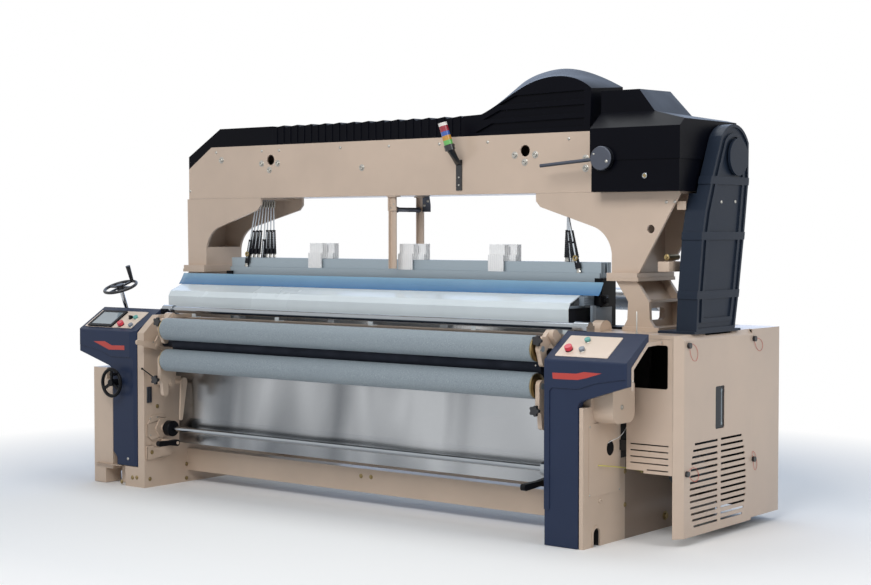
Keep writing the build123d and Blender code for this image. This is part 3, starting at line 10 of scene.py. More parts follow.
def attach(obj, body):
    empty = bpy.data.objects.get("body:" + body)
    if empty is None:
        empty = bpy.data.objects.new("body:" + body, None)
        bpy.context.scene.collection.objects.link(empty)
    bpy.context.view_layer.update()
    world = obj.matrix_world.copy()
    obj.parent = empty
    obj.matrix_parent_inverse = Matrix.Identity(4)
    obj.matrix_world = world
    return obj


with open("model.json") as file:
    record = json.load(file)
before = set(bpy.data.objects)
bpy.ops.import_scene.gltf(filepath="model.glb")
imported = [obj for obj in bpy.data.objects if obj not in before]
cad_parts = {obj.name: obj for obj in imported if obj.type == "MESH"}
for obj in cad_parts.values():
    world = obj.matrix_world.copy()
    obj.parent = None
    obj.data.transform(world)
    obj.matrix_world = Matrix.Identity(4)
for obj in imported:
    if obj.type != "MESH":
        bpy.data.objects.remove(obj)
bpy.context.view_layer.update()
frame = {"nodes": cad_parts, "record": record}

print("stage: frame loaded")

frontPlane = -0.730  # y of the consoles' front faces
root = "loom"
toFront = Vector((0, -1, 0))
toRight = Vector((1, 0, 0))
toLeft = Vector((-1, 0, 0))
upward = Vector((0, 0, 1))


def place(x, depth, height):  # millimetres as on the drawing, to metres in the frame
    return Vector((x / 1000, depth / 1000 + frontPlane, height / 1000))


def shown(red, green, blue):  # a colour as a screen shows it, to linear light
    def toLinear(value):
        value /= 255
        return value / 12.92 if value <= 0.04045 else ((value + 0.055) / 1.055) ** 2.4
    return (toLinear(red), toLinear(green), toLinear(blue), 1.0)


def linkObject(name, data):
    holder = bpy.data.objects.new(name, data)
    bpy.context.scene.collection.objects.link(holder)
    return holder


# Camera

cameraLook = {"at": (5.8655, -7.2235, 1.50), "tilt": 87.86, "turn": 38.25, "lens": 68.61, "sensor": 36.0, "far": 200.0}


def buildCamera(look):
    camera = bpy.data.cameras.new("photographView")
    camera.sensor_width = look["sensor"]
    camera.sensor_fit = "HORIZONTAL"
    camera.lens = look["lens"]
    camera.clip_end = look["far"]
    holder = linkObject("photographView", camera)
    holder.location = look["at"]
    holder.rotation_euler = (math.radians(look["tilt"]), 0.0, math.radians(look["turn"]))
    bpy.context.scene.camera = holder


buildCamera(cameraLook)


# Node helpers

def addNode(tree, kind, **settings):
    node = tree.nodes.new(kind)
    for name, value in settings.items():
        setattr(node, name, value)
    return node


def setOrLink(tree, socket, value):
    if isinstance(value, bpy.types.NodeSocket):
        tree.links.new(value, socket)
    else:
        socket.default_value = value


def feed(tree, node, **values):  # sets or links inputs by name, with underscores for spaces
    for name, value in values.items():
        setOrLink(tree, node.inputs[name.replace("_", " ")], value)
    return node


def feedInOrder(tree, node, values):
    for socket, value in zip(node.inputs, values):
        setOrLink(tree, socket, value)
    return node.outputs


def calculate(tree, operation, *values):
    return feedInOrder(tree, addNode(tree, "ShaderNodeMath", operation=operation), values)[0]


def vectors(tree, operation, *values):
    outputs = feedInOrder(tree, addNode(tree, "ShaderNodeVectorMath", operation=operation), values)
    return outputs["Value" if operation in ("DOT_PRODUCT", "LENGTH") else "Vector"]


def multiply(tree, first, *factors):
    for factor in factors:
        first = calculate(tree, "MULTIPLY", first, factor)
    return first


def mixColour(tree, factor, first, second):  # colours are sockets, or as a screen shows them
    node = addNode(tree, "ShaderNodeMix", data_type="RGBA")
    setOrLink(tree, node.inputs[0], factor)
    for index, colour in ((6, first), (7, second)):  # the colour inputs among all kinds
        setOrLink(tree, node.inputs[index], colour if isinstance(colour, bpy.types.NodeSocket) else shown(*colour))
    return node.outputs[2]


def scaleColour(tree, colour, factor):
    node = addNode(tree, "ShaderNodeVectorMath", operation="SCALE")
    return feed(tree, node, Vector=shown(*colour)[:3], Scale=factor).outputs["Vector"]


def mapRange(tree, value, fromLow, fromHigh, toLow=0.0, toHigh=1.0):
    node = addNode(tree, "ShaderNodeMapRange")
    feed(tree, node, Value=value, From_Min=fromLow, From_Max=fromHigh, To_Min=toLow, To_Max=toHigh)
    return node.outputs["Result"]


def objectSpace(tree):
    return addNode(tree, "ShaderNodeTexCoord").outputs["Object"]


def split(tree, vector):
    return feed(tree, addNode(tree, "ShaderNodeSeparateXYZ"), Vector=vector).outputs


def noise(tree, where, **settings):
    return feed(tree, addNode(tree, "ShaderNodeTexNoise"), Vector=where, **settings).outputs[0]


def newGroup(name, inputs, outputs):  # inputs with their values, and the outputs' names
    tree = bpy.data.node_groups.new(name, "ShaderNodeTree")
    for label, value in inputs.items():
        kind = "NodeSocketFloat" if isinstance(value, float) else "NodeSocketVector"
        tree.interface.new_socket(name=label, in_out="INPUT", socket_type=kind).default_value = value
    for label in outputs:
        kind = "NodeSocketVector" if label == "Normal" else "NodeSocketFloat"
        tree.interface.new_socket(name=label, in_out="OUTPUT", socket_type=kind)
    return tree, tree.nodes.new("NodeGroupInput").outputs, tree.nodes.new("NodeGroupOutput")


def useGroup(tree, group, **values):
    return feed(tree, addNode(tree, "ShaderNodeGroup", node_tree=group), **values).outputs


# Shared effects

def buildGrainGroup():  # fine and broad variation in the piece's own coordinates, in metres
    inputs = {"Scale": 400.0, "Broad Scale": 2.5, "Stretch": (1.0, 1.0, 1.0)}
    tree, given, result = newGroup("surfaceGrain", inputs, ["Fine", "Broad"])
    where = objectSpace(tree)
    stretched = vectors(tree, "MULTIPLY", where, given["Stretch"])
    fine = noise(tree, stretched, Scale=given["Scale"], Detail=2.0, Roughness=0.55)
    broad = noise(tree, where, Scale=given["Broad Scale"], Detail=3.0, Roughness=0.6)
    feed(tree, result, Fine=fine, Broad=broad)
    return tree


def buildEdgeGroup():  # rounds sharp edges for the light and marks them where paint rubs thin
    tree, given, result = newGroup("edgeWear", {"Radius": 0.002, "Rub": 0.5}, ["Mask", "Normal"])
    rounded = feed(tree, addNode(tree, "ShaderNodeBevel", samples=4), Radius=given["Radius"]).outputs["Normal"]
    flat = addNode(tree, "ShaderNodeNewGeometry").outputs["Normal"]
    edge = mapRange(tree, vectors(tree, "DOT_PRODUCT", rounded, flat), 0.985, 0.86)
    patches = noise(tree, objectSpace(tree), Scale=28.0, Detail=3.0)
    rubbed = mapRange(tree, patches, 0.42, 0.62, 0.15, 1.0)
    feed(tree, result, Mask=multiply(tree, edge, rubbed, given["Rub"]), Normal=rounded)
    return tree


def buildDustGroup():  # lint and dust on faces that look up, and a little low down
    tree, given, result = newGroup("settledDust", {"Amount": 0.3}, ["Mask"])
    normal = addNode(tree, "ShaderNodeNewGeometry").outputs["Normal"]
    level = mapRange(tree, split(tree, normal)["Z"], 0.55, 0.98)
    where = objectSpace(tree)
    low = mapRange(tree, split(tree, where)["Z"], 0.16, 0.0, 0.0, 0.6)
    patchy = mapRange(tree, noise(tree, where, Scale=9.0, Detail=5.0, Roughness=0.65), 0.35, 0.75)
    feed(tree, result, Mask=multiply(tree, calculate(tree, "MAXIMUM", level, low), patchy, given["Amount"]))
    return tree


def buildFleckGroup():  # light and dark flecks
    tree, given, result = newGroup("flecks", {"Scale": 300.0}, ["Light", "Dark"])
    fine = noise(tree, objectSpace(tree), Scale=given["Scale"], Detail=1.0)
    feed(tree, result, Light=mapRange(tree, fine, 0.56, 0.70), Dark=mapRange(tree, fine, 0.44, 0.30))
    return tree


def buildRegionGroup():  # one inside a box of the frame, nought outside it
    tree, given, result = newGroup("regionMask", {"Low": (0.0, 0.0, 0.0), "High": (1.0, 1.0, 1.0)}, ["Mask"])
    here, low, high = [split(tree, point) for point in (objectSpace(tree), given["Low"], given["High"])]
    mask = 1.0
    for part in "XYZ":
        above = calculate(tree, "GREATER_THAN", here[part], low[part])
        below = calculate(tree, "LESS_THAN", here[part], high[part])
        mask = multiply(tree, above, below, mask)
    feed(tree, result, Mask=mask)
    return tree


def buildShaftGroup():  # one inside a round bar along an axis, between two distances on it
    inputs = {"Base": (0.0, 0.0, 0.0), "Axis": (0.0, 0.0, 1.0), "From": 0.0, "To": 1.0, "Radius": 0.02}
    tree, given, result = newGroup("shaftMask", inputs, ["Mask", "Along"])
    offset = vectors(tree, "SUBTRACT", objectSpace(tree), given["Base"])
    along = vectors(tree, "DOT_PRODUCT", offset, given["Axis"])
    away = vectors(tree, "LENGTH", vectors(tree, "CROSS_PRODUCT", offset, given["Axis"]))
    after = calculate(tree, "GREATER_THAN", along, given["From"])
    before = calculate(tree, "LESS_THAN", along, given["To"])
    close = calculate(tree, "LESS_THAN", away, given["Radius"])
    feed(tree, result, Mask=multiply(tree, after, before, close), Along=along)
    return tree


grainGroup = buildGrainGroup()
edgeGroup = buildEdgeGroup()
dustGroup = buildDustGroup()
fleckGroup = buildFleckGroup()
regionGroup = buildRegionGroup()
shaftGroup = buildShaftGroup()


# Materials

def newMaterial(name):
    material = bpy.data.materials.new(name)
    material.use_nodes = True
    tree = material.node_tree
    tree.nodes.clear()
    shader = addNode(tree, "ShaderNodeBsdfPrincipled")
    feed(tree, addNode(tree, "ShaderNodeOutputMaterial"), Surface=shader.outputs["BSDF"])
    return material, tree, shader


def bumpFrom(tree, height, depth, **normal):
    bump = addNode(tree, "ShaderNodeBump")
    return feed(tree, bump, Height=height, Distance=depth, Strength=1.0, **normal).outputs["Normal"]


coatingFields = ("colour", "worn", "rough", "scale", "peel", "dust", "coat", "shine", "rub")
coatings = {  # colour and rubbed colour as seen; roughness; grain; orange peel depth in metres; dust; coat; shine; rub
    "beigeEnamel": ((200, 179, 160), (222, 206, 190), 0.40, 260, 0.00012, 0.18, 0.2),
    "beigeSheet": ((202, 181, 163), (224, 208, 193), 0.36, 420, 0.00005, 0.12, 0.3),
    "panelInlay": ((224, 206, 190), (232, 220, 206), 0.42, 500, 0.00003, 0.03, 0.15),
    "blackMoulding": ((4, 5, 13), (40, 46, 60), 0.36, 900, 0.00008, 0.0, 0.0, 0.07, 0.3),
    "slateMoulding": ((32, 41, 55), (78, 90, 106), 0.38, 900, 0.00010, 0.03, 0.0, 0.15),
    "navyMoulding": ((38, 49, 74), (84, 98, 126), 0.38, 900, 0.00008, 0.02, 0.0, 0.2),
    "blackPlastic": ((14, 15, 19), (44, 46, 52), 0.38, 700, 0.00006, 0.02, 0.0, 0.12, 0.0),
    "slateGrey": ((112, 123, 134), (150, 160, 170), 0.38, 500, 0.00006, 0.1, 0.1),
    "whiteEnamel": ((222, 232, 237), (236, 241, 244), 0.24, 300, 0.00003, 0.03, 0.4),
    "motorGrey": ((98, 106, 114), (150, 156, 162), 0.45, 300, 0.00012, 0.30, 0.1),
    "redPlastic": ((208, 40, 66), (232, 110, 124), 0.28, 800, 0.00002, 0.0, 0.4),
    "greenPlastic": ((96, 168, 160), (140, 200, 192), 0.30, 800, 0.00002, 0.0, 0.3),
    "greyPlastic": ((120, 129, 142), (160, 168, 180), 0.32, 800, 0.00002, 0.0, 0.3),
    "stripeRed": ((182, 58, 50), (204, 96, 86), 0.40, 700, 0.00003, 0.0, 0.2),
    "cordRed": ((206, 84, 74), (220, 120, 110), 0.50, 900, 0.00003, 0.0, 0.0),
    "tubeYellow": ((196, 186, 96), (214, 206, 130), 0.35, 900, 0.00002, 0.0, 0.2),
    "beltRubber": ((24, 25, 28), (48, 49, 52), 0.75, 900, 0.00012, 0.12, 0.0),
    "bootRubber": ((12, 14, 22), (34, 38, 48), 0.60, 900, 0.00010, 0.02, 0.0, 0.25, 0.0),
    "whiteNylon": ((236, 238, 238), (242, 243, 243), 0.42, 600, 0.00004, 0.03, 0.0),
    "screenFace": ((128, 143, 152), (150, 162, 170), 0.06, 900, 0.00001, 0.0, 0.8),
    "sightPane": ((30, 38, 46), (62, 72, 82), 0.12, 900, 0.00001, 0.0, 0.0, 0.2),
}
coatings = {name: dict(zip(coatingFields, row)) for name, row in coatings.items()}
usualShine, usualRub = 0.45, 0.55  # where a coating gives none
dustColour = (176, 170, 162)
mostNoise = (0.3, 0.7)  # where most values of a noise lie

# the third colour is painted shade: a near black laid inside the end covers, on the inner panel's hidden side and on
# the right frame's inner faces, where shade falls
phenolic, armKnob, paintedShade = ((20, 21, 26), 0.4), ((20, 21, 26), 0.42), ((26, 24, 24), 0.8)
accents = {  # places on a node that have another finish, or painted shade: low and high corner in metres, colour and roughness
    "end_cover": [((1.9505, -2, 0), (2, 2, 3), *phenolic), ((1.0, -0.354, 0.0), (1.9462, 2, 0.9745), *paintedShade)],
    "rear_end_cover": [((1.9505, -2, 0), (2, 2, 3), *phenolic), ((1.0, -2, 0.0), (1.9462, 0.6155, 1.0005), *paintedShade)],
    "inner_panel": [((1.0, -0.4035, 0.0), (2, 2, 1.1), *paintedShade)],
    # a darker beige on the right frame's face below the inner panel is painted shade
    "side_frame_right": [((1.44, -0.345, 0.0), (1.73, 0.58, 0.40), (142, 124, 110), 0.5),
                         ((1.44, -0.385, 0.40), (1.73, 0.58, 0.984), *paintedShade),
                         ((1.46, -0.632, 0.0), (1.6105, -0.568, 0.092), *paintedShade)],
    "upper_arms": [((-2, -2, 0), (2, -0.7105, 3), *armKnob)],
    "lower_arms": [((-2, -2, 0), (2, -0.7105, 3), *armKnob)],
}


def makeCoating(name, look, marks=()):
    material, tree, shader = newMaterial(name)
    grain = useGroup(tree, grainGroup, Scale=look["scale"])
    edge = useGroup(tree, edgeGroup, Radius=0.0018, Rub=look.get("rub", usualRub))
    dust = useGroup(tree, dustGroup, Amount=look["dust"])["Mask"]
    mottled = scaleColour(tree, look["colour"], mapRange(tree, grain["Broad"], *mostNoise, 0.94, 1.05))
    rubbed = mixColour(tree, edge["Mask"], mottled, look["worn"])
    colour = mixColour(tree, dust, rubbed, dustColour)
    smooth = mapRange(tree, grain["Broad"], *mostNoise, look["rough"] - 0.05, look["rough"] + 0.06)
    rough = calculate(tree, "MAXIMUM", smooth, mapRange(tree, dust, 0.0, 0.3, 0.0, 0.6))
    # some marks are painted shade (see accents), others a real part's own colour
    for low, high, markColour, markRough in marks:
        region = useGroup(tree, regionGroup, Low=low, High=high)["Mask"]
        colour = mixColour(tree, region, colour, markColour)
        kept = multiply(tree, calculate(tree, "SUBTRACT", 1.0, region), rough)
        rough = calculate(tree, "ADD", kept, multiply(tree, region, markRough))
    normal = bumpFrom(tree, grain["Fine"], look["peel"], Normal=edge["Normal"])
    feed(tree, shader, Base_Color=colour, Roughness=rough, Coat_Weight=look["coat"], Coat_Roughness=0.12,
         Specular_IOR_Level=look.get("shine", usualShine), Normal=normal)
    return material


metalFields = ("colour", "rough", "stretch", "scale", "depth")
metals = {  # colour as seen; roughness; direction of the lines as stretched scale; their scale and depth in metres
    "chrome": ((158, 163, 168), 0.14, (0.02, 1, 1), 500, 0.00001),
    "shaftSteel": ((172, 174, 176), 0.30, (1, 0.04, 0.04), 900, 0.00003),
    "leverSteel": ((84, 88, 98), 0.42, (0.1, 1, 1), 700, 0.00004),
    "boltSteel": ((178, 176, 170), 0.32, (1, 1, 1), 1500, 0.00002),
    "boltBrass": ((150, 132, 92), 0.36, (1, 1, 1), 1500, 0.00003),
    "sleyAluminium": ((186, 190, 194), 0.38, (0.03, 1, 1), 900, 0.00003),
    "emerySteel": ((52, 56, 66), 0.62, (1, 1, 1), 1200, 0.00030),
}
metals = {name: dict(zip(metalFields, row)) for name, row in metals.items()}
rubbedMetal = (225, 226, 228)
metalEdge = dict(Radius=0.0012, Rub=0.4)


def makeMetal(name, look):
    material, tree, shader = newMaterial(name)
    grain = useGroup(tree, grainGroup, Scale=look["scale"], Stretch=look["stretch"], Broad_Scale=6.0)
    edge = useGroup(tree, edgeGroup, **metalEdge)
    lined = scaleColour(tree, look["colour"], mapRange(tree, grain["Fine"], 0.25, 0.75, 0.90, 1.06))
    bright = mixColour(tree, edge["Mask"], lined, rubbedMetal)
    rough = mapRange(tree, grain["Broad"], *mostNoise, look["rough"] * 0.8, look["rough"] * 1.25)
    normal = bumpFrom(tree, grain["Fine"], look["depth"], Normal=edge["Normal"])
    feed(tree, shader, Base_Color=bright, Roughness=rough, Metallic=1.0, Normal=normal)
    return material


rollerLook = {
    "colours": ((132, 143, 151), (140, 151, 158)), "light": (190, 200, 206), "lightShare": 0.40,
    "dark": (92, 103, 112), "darkShare": 0.45, "grit": 330.0, "rough": 0.62, "depth": 0.00020,
}


def makeRollerRubber(look):  # grey rubber wrap with a fine grit
    material, tree, shader = newMaterial("rollerWrap")
    flecks = useGroup(tree, fleckGroup, Scale=look["grit"])
    grain = useGroup(tree, grainGroup, Scale=900.0, Broad_Scale=3.0)
    colour = mixColour(tree, grain["Broad"], *look["colours"])
    colour = mixColour(tree, multiply(tree, flecks["Light"], look["lightShare"]), colour, look["light"])
    colour = mixColour(tree, multiply(tree, flecks["Dark"], look["darkShare"]), colour, look["dark"])
    normal = bumpFrom(tree, grain["Fine"], look["depth"])
    feed(tree, shader, Base_Color=colour, Roughness=look["rough"], Normal=normal)
    return material


sheetLook = {  # waves are broad dents; the streaks that run up the sheet are painted reflections, dark and light bands in its colour
    "colours": ((92, 96, 101), (176, 179, 182)), "sheen": (214, 216, 218), "sheenShare": 0.12,
    "waves": 2.2, "streaks": (2.6, 2.6, 0.7), "rough": (0.20, 0.26), "depth": 0.030,
}


def makeStainless(look):  # thin bright sheet that is not quite flat, with painted reflections in its colour
    material, tree, shader = newMaterial("stainlessSheet")
    grain = useGroup(tree, grainGroup, Scale=500.0, Stretch=(1.0, 1.0, 0.05), Broad_Scale=1.5)
    where = objectSpace(tree)
    waves = noise(tree, where, Scale=look["waves"], Detail=0.0)
    stretched = vectors(tree, "MULTIPLY", where, look["streaks"])
    streaks = noise(tree, stretched, Scale=1.0, Detail=1.5, Roughness=0.5, Distortion=0.6)
    # the dark and light streaks are painted reflections of the surroundings, laid into the base colour
    shade = mixColour(tree, mapRange(tree, streaks, 0.32, 0.68), *look["colours"])
    shade = mixColour(tree, multiply(tree, grain["Fine"], look["sheenShare"]), shade, look["sheen"])
    rough = mapRange(tree, waves, *mostNoise, *look["rough"])
    feed(tree, shader, Base_Color=shade, Roughness=rough, Metallic=1.0, Normal=bumpFrom(tree, waves, look["depth"]))
    return material


blueLook = {  # colours at the lower and upper edge, and the heights between which they change
    "colours": ((62, 124, 178), (132, 178, 208)), "heights": (1.180, 1.240), "alpha": (0.66, 0.80),
    "rough": 0.16, "depth": 0.0008,
}


def makeBlueSheet(look):  # tinted clear sheet, paler toward its upper edge
    material, tree, shader = newMaterial("blueClear")
    broad = useGroup(tree, grainGroup, Scale=30.0, Broad_Scale=3.0)["Broad"]
    rising = mapRange(tree, split(tree, objectSpace(tree))["Z"], *look["heights"])
    tint = mixColour(tree, rising, *look["colours"])
    clear = mapRange(tree, broad, *mostNoise, *look["alpha"])
    feed(tree, shader, Base_Color=tint, Roughness=look["rough"], Alpha=clear, Coat_Weight=0.4, Coat_Roughness=0.08,
         Normal=bumpFrom(tree, broad, look["depth"]))
    return material


signalLook = {  # the lamp's axis, and where each segment starts along it in metres
    "base": (0.501, -0.293, 1.925), "axis": (-0.25007, -0.14004, 0.95826), "from": -0.004, "to": 0.2,
    "radius": 0.0245, "cup": (20, 21, 25), "length": 0.150,
    "segments": [(0.000, (22, 23, 27)), (0.027, (104, 178, 92)), (0.052, (196, 142, 58)), (0.077, (58, 92, 168)),
                 (0.100, (150, 36, 52)), (0.130, (226, 222, 216))],
}


def maskShaft(tree, look):
    return useGroup(tree, shaftGroup, Base=look["base"], Axis=look["axis"], From=look["from"], To=look["to"],
                    Radius=look["radius"])


def makeSignal(look):  # black cup and bracket, with segments of coloured plastic above it
    material, tree, shader = newMaterial("signalPlastic")
    lamp = maskShaft(tree, look)
    ramp = addNode(tree, "ShaderNodeValToRGB")
    ramp.color_ramp.interpolation = "CONSTANT"
    stops = ramp.color_ramp.elements
    while len(stops) < len(look["segments"]):
        stops.new(0.5)  # moved below
    for stop, (distance, colour) in zip(stops, look["segments"]):
        stop.position = distance / look["length"]
        stop.color = shown(*colour)
    setOrLink(tree, ramp.inputs[0], calculate(tree, "DIVIDE", lamp["Along"], look["length"]))
    colour = mixColour(tree, lamp["Mask"], look["cup"], ramp.outputs["Color"])
    feed(tree, shader, Base_Color=colour, Roughness=0.26, Coat_Weight=0.3, Coat_Roughness=0.08)
    return material


healdLook = {  # top of the slats at rest, half widths that have plates and rods, pitch of the teeth, in metres
    "tops": {"heald_frames_1": 1.2835}, "top": 1.3385, "guideHalf": 0.85, "rodHalf": 3.0, "teeth": 0.014,
    "slats": ((150, 163, 172), (166, 178, 186)), "rods": (196, 202, 208), "grooveShare": 0.16, "depth": -0.0009,
    "plates": ((254, 254, 254), (206, 212, 216)), "rough": 0.42, "metal": 0.85,
}


def makeHeald(name, look):  # grey slats, bright rods and white guide plates with fine teeth
    material, tree, shader = newMaterial(name + "Finish")
    grain = useGroup(tree, grainGroup, Scale=900.0, Stretch=(0.02, 1.0, 1.0), Broad_Scale=6.0)
    edge = useGroup(tree, edgeGroup, **metalEdge)
    top = look["tops"].get(name, look["top"])
    plates, rods = [useGroup(tree, regionGroup, Low=(-half, -1.0, top), High=(half, 1.0, 3.0))["Mask"]
                    for half in (look["guideHalf"], look["rodHalf"])]
    tooth = calculate(tree, "PINGPONG", split(tree, objectSpace(tree))["X"], look["teeth"] / 2)
    groove = mapRange(tree, tooth, 0.0, look["teeth"] / 4, 1.0, 0.0)
    slat = mixColour(tree, grain["Fine"], *look["slats"])
    bright = mixColour(tree, rods, slat, look["rods"])
    white = mixColour(tree, multiply(tree, groove, look["grooveShare"]), *look["plates"])
    metal = multiply(tree, calculate(tree, "SUBTRACT", 1.0, plates), look["metal"])
    normal = bumpFrom(tree, multiply(tree, groove, plates), look["depth"], Normal=edge["Normal"])
    feed(tree, shader, Base_Color=mixColour(tree, plates, bright, white), Roughness=look["rough"], Metallic=metal,
         Normal=normal)
    return material


crankLook = {  # the shaft's axis, and how far along it the bright steel reaches
    "base": (-1.845, -0.438, 0.930), "axis": (0.0, -0.34202, 0.93969), "from": -0.1, "to": 0.2285, "radius": 0.0135,
    "wheel": (20, 21, 26), "shaft": (196, 200, 204), "rough": (0.40, 0.16),
}


def makeCrank(look):  # bright shaft below a black wheel
    material, tree, shader = newMaterial("crankFinish")
    shaft = maskShaft(tree, look)["Mask"]
    edge = useGroup(tree, edgeGroup, Radius=0.0012, Rub=0.2)
    colour = mixColour(tree, shaft, look["wheel"], look["shaft"])
    rough = mapRange(tree, shaft, 0.0, 1.0, *look["rough"])
    feed(tree, shader, Base_Color=colour, Roughness=rough, Metallic=shaft, Normal=edge["Normal"])
    return material


materials = {name: makeCoating(name, look) for name, look in coatings.items()}
materials.update({name: makeMetal(name, look) for name, look in metals.items()})
materials["rollerWrap"] = makeRollerRubber(rollerLook)
materials["stainlessSheet"] = makeStainless(sheetLook)
materials["blueClear"] = makeBlueSheet(blueLook)
materials["signalPlastic"] = makeSignal(signalLook)
materials["crankFinish"] = makeCrank(crankLook)

otherFinishes = {  # slots of the frame's nodes whose finish has another name than the slot
    "beige_casting": "beigeEnamel", "screen_plastic": "blackPlastic", "white_sheet": "whiteEnamel",
    "stainless": "stainlessSheet", "roller_rubber": "rollerWrap", "reed_steel": "shaftSteel",
}
slotOfNode = {part["node"]: part["material_slot"] for part in frame["record"]["subparts"]}


def finishOfNode(name):
    first, *others = slotOfNode[name].split("_")
    finish = otherFinishes.get(slotOfNode[name], first + "".join(word.capitalize() for word in others))
    if name in accents:
        return makeCoating(name + "Finish", coatings[finish], accents[name])
    if name.startswith("heald_frames"):
        return makeHeald(name, healdLook)
    return materials["crankFinish" if name == "crank_wheel" else finish]


def dressNode(name, material):
    node = frame["nodes"][name]
    if not node.material_slots:
        node.data.materials.append(material)
    for entry in node.material_slots:
        entry.material = material


for nodeName in frame["nodes"]:
    dressNode(nodeName, finishOfNode(nodeName))
print("stage: materials on the frame's nodes")


# Shape helpers: outlines as pairs in millimetres, and steps that add to a shape

def arc(u, v, wide, tall, start, end, steps):  # pairs on an ellipse between two angles in degrees
    turns = [math.radians(start + (end - start) * step / steps) for step in range(steps + 1)]
    return [(u + wide * math.cos(turn), v + tall * math.sin(turn)) for turn in turns]


def roundedOutline(u0, u1, v0, v1, radius):  # a rectangle with round corners
    corners = ((u1 - radius, v1 - radius, 0), (u0 + radius, v1 - radius, 90),
               (u0 + radius, v0 + radius, 180), (u1 - radius, v0 + radius, 270))
    return [pair for u, v, start in corners for pair in arc(u, v, radius, radius, start, start + 90, 4)]


def mirrored(half, total, *middle):  # a profile whose ends are alike, with distances that add up to the total
    return [*half, *middle, *[(radius, total - distance) for radius, distance in half[::-1]]]


def onSide(x, outline):  # pairs of depth and height, on a plane across the machine
    return [place(x, depth, height) for depth, height in outline]


def onFront(depth, outline):  # pairs of x and height, on a plane along the machine
    return [place(x, depth, height) for x, height in outline]


def ringPoints(centre, across, other, wide, tall, sides):
    turns = [2 * math.pi * step / sides for step in range(sides)]
    return [centre + across * (wide / 1000 * math.cos(turn)) + other * (tall / 1000 * math.sin(turn))
            for turn in turns]


def joinRings(shape, rings, sides):
    for first, second in zip(rings, rings[1:]):
        for index in range(sides):
            after = (index + 1) % sides
            corners = [first[index % len(first)], first[after % len(first)]]
            corners += [second[after % len(second)], second[index % len(second)]]
            face = list(dict.fromkeys(corners))
            if len(face) > 2:
                shape.faces.new(face)


def addLathe(shape, base, axis, profile, sides=24):  # rings of (radius, distance) in millimetres along an axis
    axis = Vector(axis).normalized()
    side = axis.orthogonal().normalized()
    other = axis.cross(side)
    rings = []
    for radius, distance in profile:
        centre = base + axis * (distance / 1000)
        points = ringPoints(centre, side, other, radius, radius, sides) if radius else [centre]
        rings.append([shape.verts.new(point) for point in points])
    joinRings(shape, rings, sides)


def addTube(shape, points, radius, sides=12):  # a round bar through points
    across = (points[1] - points[0]).orthogonal().normalized()
    rings = []
    for index, point in enumerate(points):
        along = (points[min(index + 1, len(points) - 1)] - points[max(index - 1, 0)]).normalized()
        across = (across - along * across.dot(along)).normalized()
        ring = ringPoints(point, across, along.cross(across), radius, radius, sides)
        rings.append([shape.verts.new(corner) for corner in ring])
    joinRings(shape, rings, sides)
    shape.faces.new(rings[0])
    shape.faces.new(rings[-1])


def addPrism(shape, outline, direction, thick, holes=()):  # a flat outline pushed to a thickness
    push = direction * (thick / 1000)
    loops = [outline, *holes]
    points = [point for loop in loops for point in loop]
    low = [shape.verts.new(point) for point in points]
    high = [shape.verts.new(point + push) for point in points]
    for a, b, c in tessellate_polygon(loops):
        shape.faces.new((low[a], low[b], low[c]))
        shape.faces.new((high[c], high[b], high[a]))
    start = 0
    for loop in loops:
        for index in range(len(loop)):
            here, after = start + index, start + (index + 1) % len(loop)
            shape.faces.new((low[here], low[after], high[after], high[here]))
        start += len(loop)


def easeEdges(shape, offset, **settings):
    bmesh.ops.bevel(shape, geom=shape.edges[:], offset=offset / 1000, segments=2, affect="EDGES", **settings)


def easeClamped(shape, offset):  # where edges are short
    easeEdges(shape, offset, clamp_overlap=True)


def addBlock(shape, low, high, chamfer):  # a box between two corners in millimetres, with its edges eased
    (x0, y0, z0), (x1, y1, z1) = place(*low), place(*high)
    block = bmesh.new()
    verts = [block.verts.new((x, y, z)) for x in (x0, x1) for y in (y0, y1) for z in (z0, z1)]
    for face in ((0, 1, 3, 2), (4, 6, 7, 5), (0, 4, 5, 1), (2, 3, 7, 6), (0, 2, 6, 4), (1, 5, 7, 3)):
        block.faces.new([verts[index] for index in face])
    easeEdges(block, chamfer, profile=0.5)
    joined = bpy.data.meshes.new("joined")
    block.to_mesh(joined)
    block.free()
    shape.from_mesh(joined)
    bpy.data.meshes.remove(joined)


sharpAngle = 35


def makePiece(name, finish, *steps, body=root):  # each step is a helper and what it is given after the shape
    shape = bmesh.new()
    for helper, *given in steps:
        helper(shape, *given)
    bmesh.ops.recalc_face_normals(shape, faces=shape.faces[:])
    mesh = bpy.data.meshes.new(name)
    shape.to_mesh(mesh)
    shape.free()
    for face in mesh.polygons:
        face.use_smooth = True
    mesh.set_sharp_from_angle(angle=math.radians(sharpAngle))
    mesh.materials.append(materials[finish])
    piece = linkObject(name, mesh)
    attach(piece, body)


# Fasteners

headProfiles = {  # (radius, distance) in millimetres from the surface that the head sits on
    "washerBolt": [(0, 0), (19, 0), (19, 1.6), (18, 2.2), (12.5, 2.2), (12.5, 9.5), (11.3, 10.6), (6.4, 10.6),
                   (6.4, 5.5), (0, 5.5)],
    "panScrew": [(0, 0), (8.5, 0), (8.2, 1.6), (6.6, 3.4), (3.4, 4.4), (2.6, 4.4), (2.2, 2.6), (0, 2.6)],
    "smallScrew": [(0, 0), (5.2, 0), (5.0, 1.0), (4.0, 2.1), (1.8, 2.6), (1.4, 1.4), (0, 1.4)],
    "socketBolt": [(0, 0), (10, 0), (10, 7.5), (9.1, 8.4), (5.2, 8.4), (5.2, 4.2), (0, 4.2)],
    "sunkBolt": [(0, 0), (12.5, 0), (12.5, 1.2), (8.0, 2.0), (8.0, 5.2), (7.0, 6.0), (0, 6.0)],
    "largeBolt": [(0, 0), (24, 0), (24, 2.5), (15, 3.0), (15, 11), (13.5, 12.5), (0, 12.5)],
}
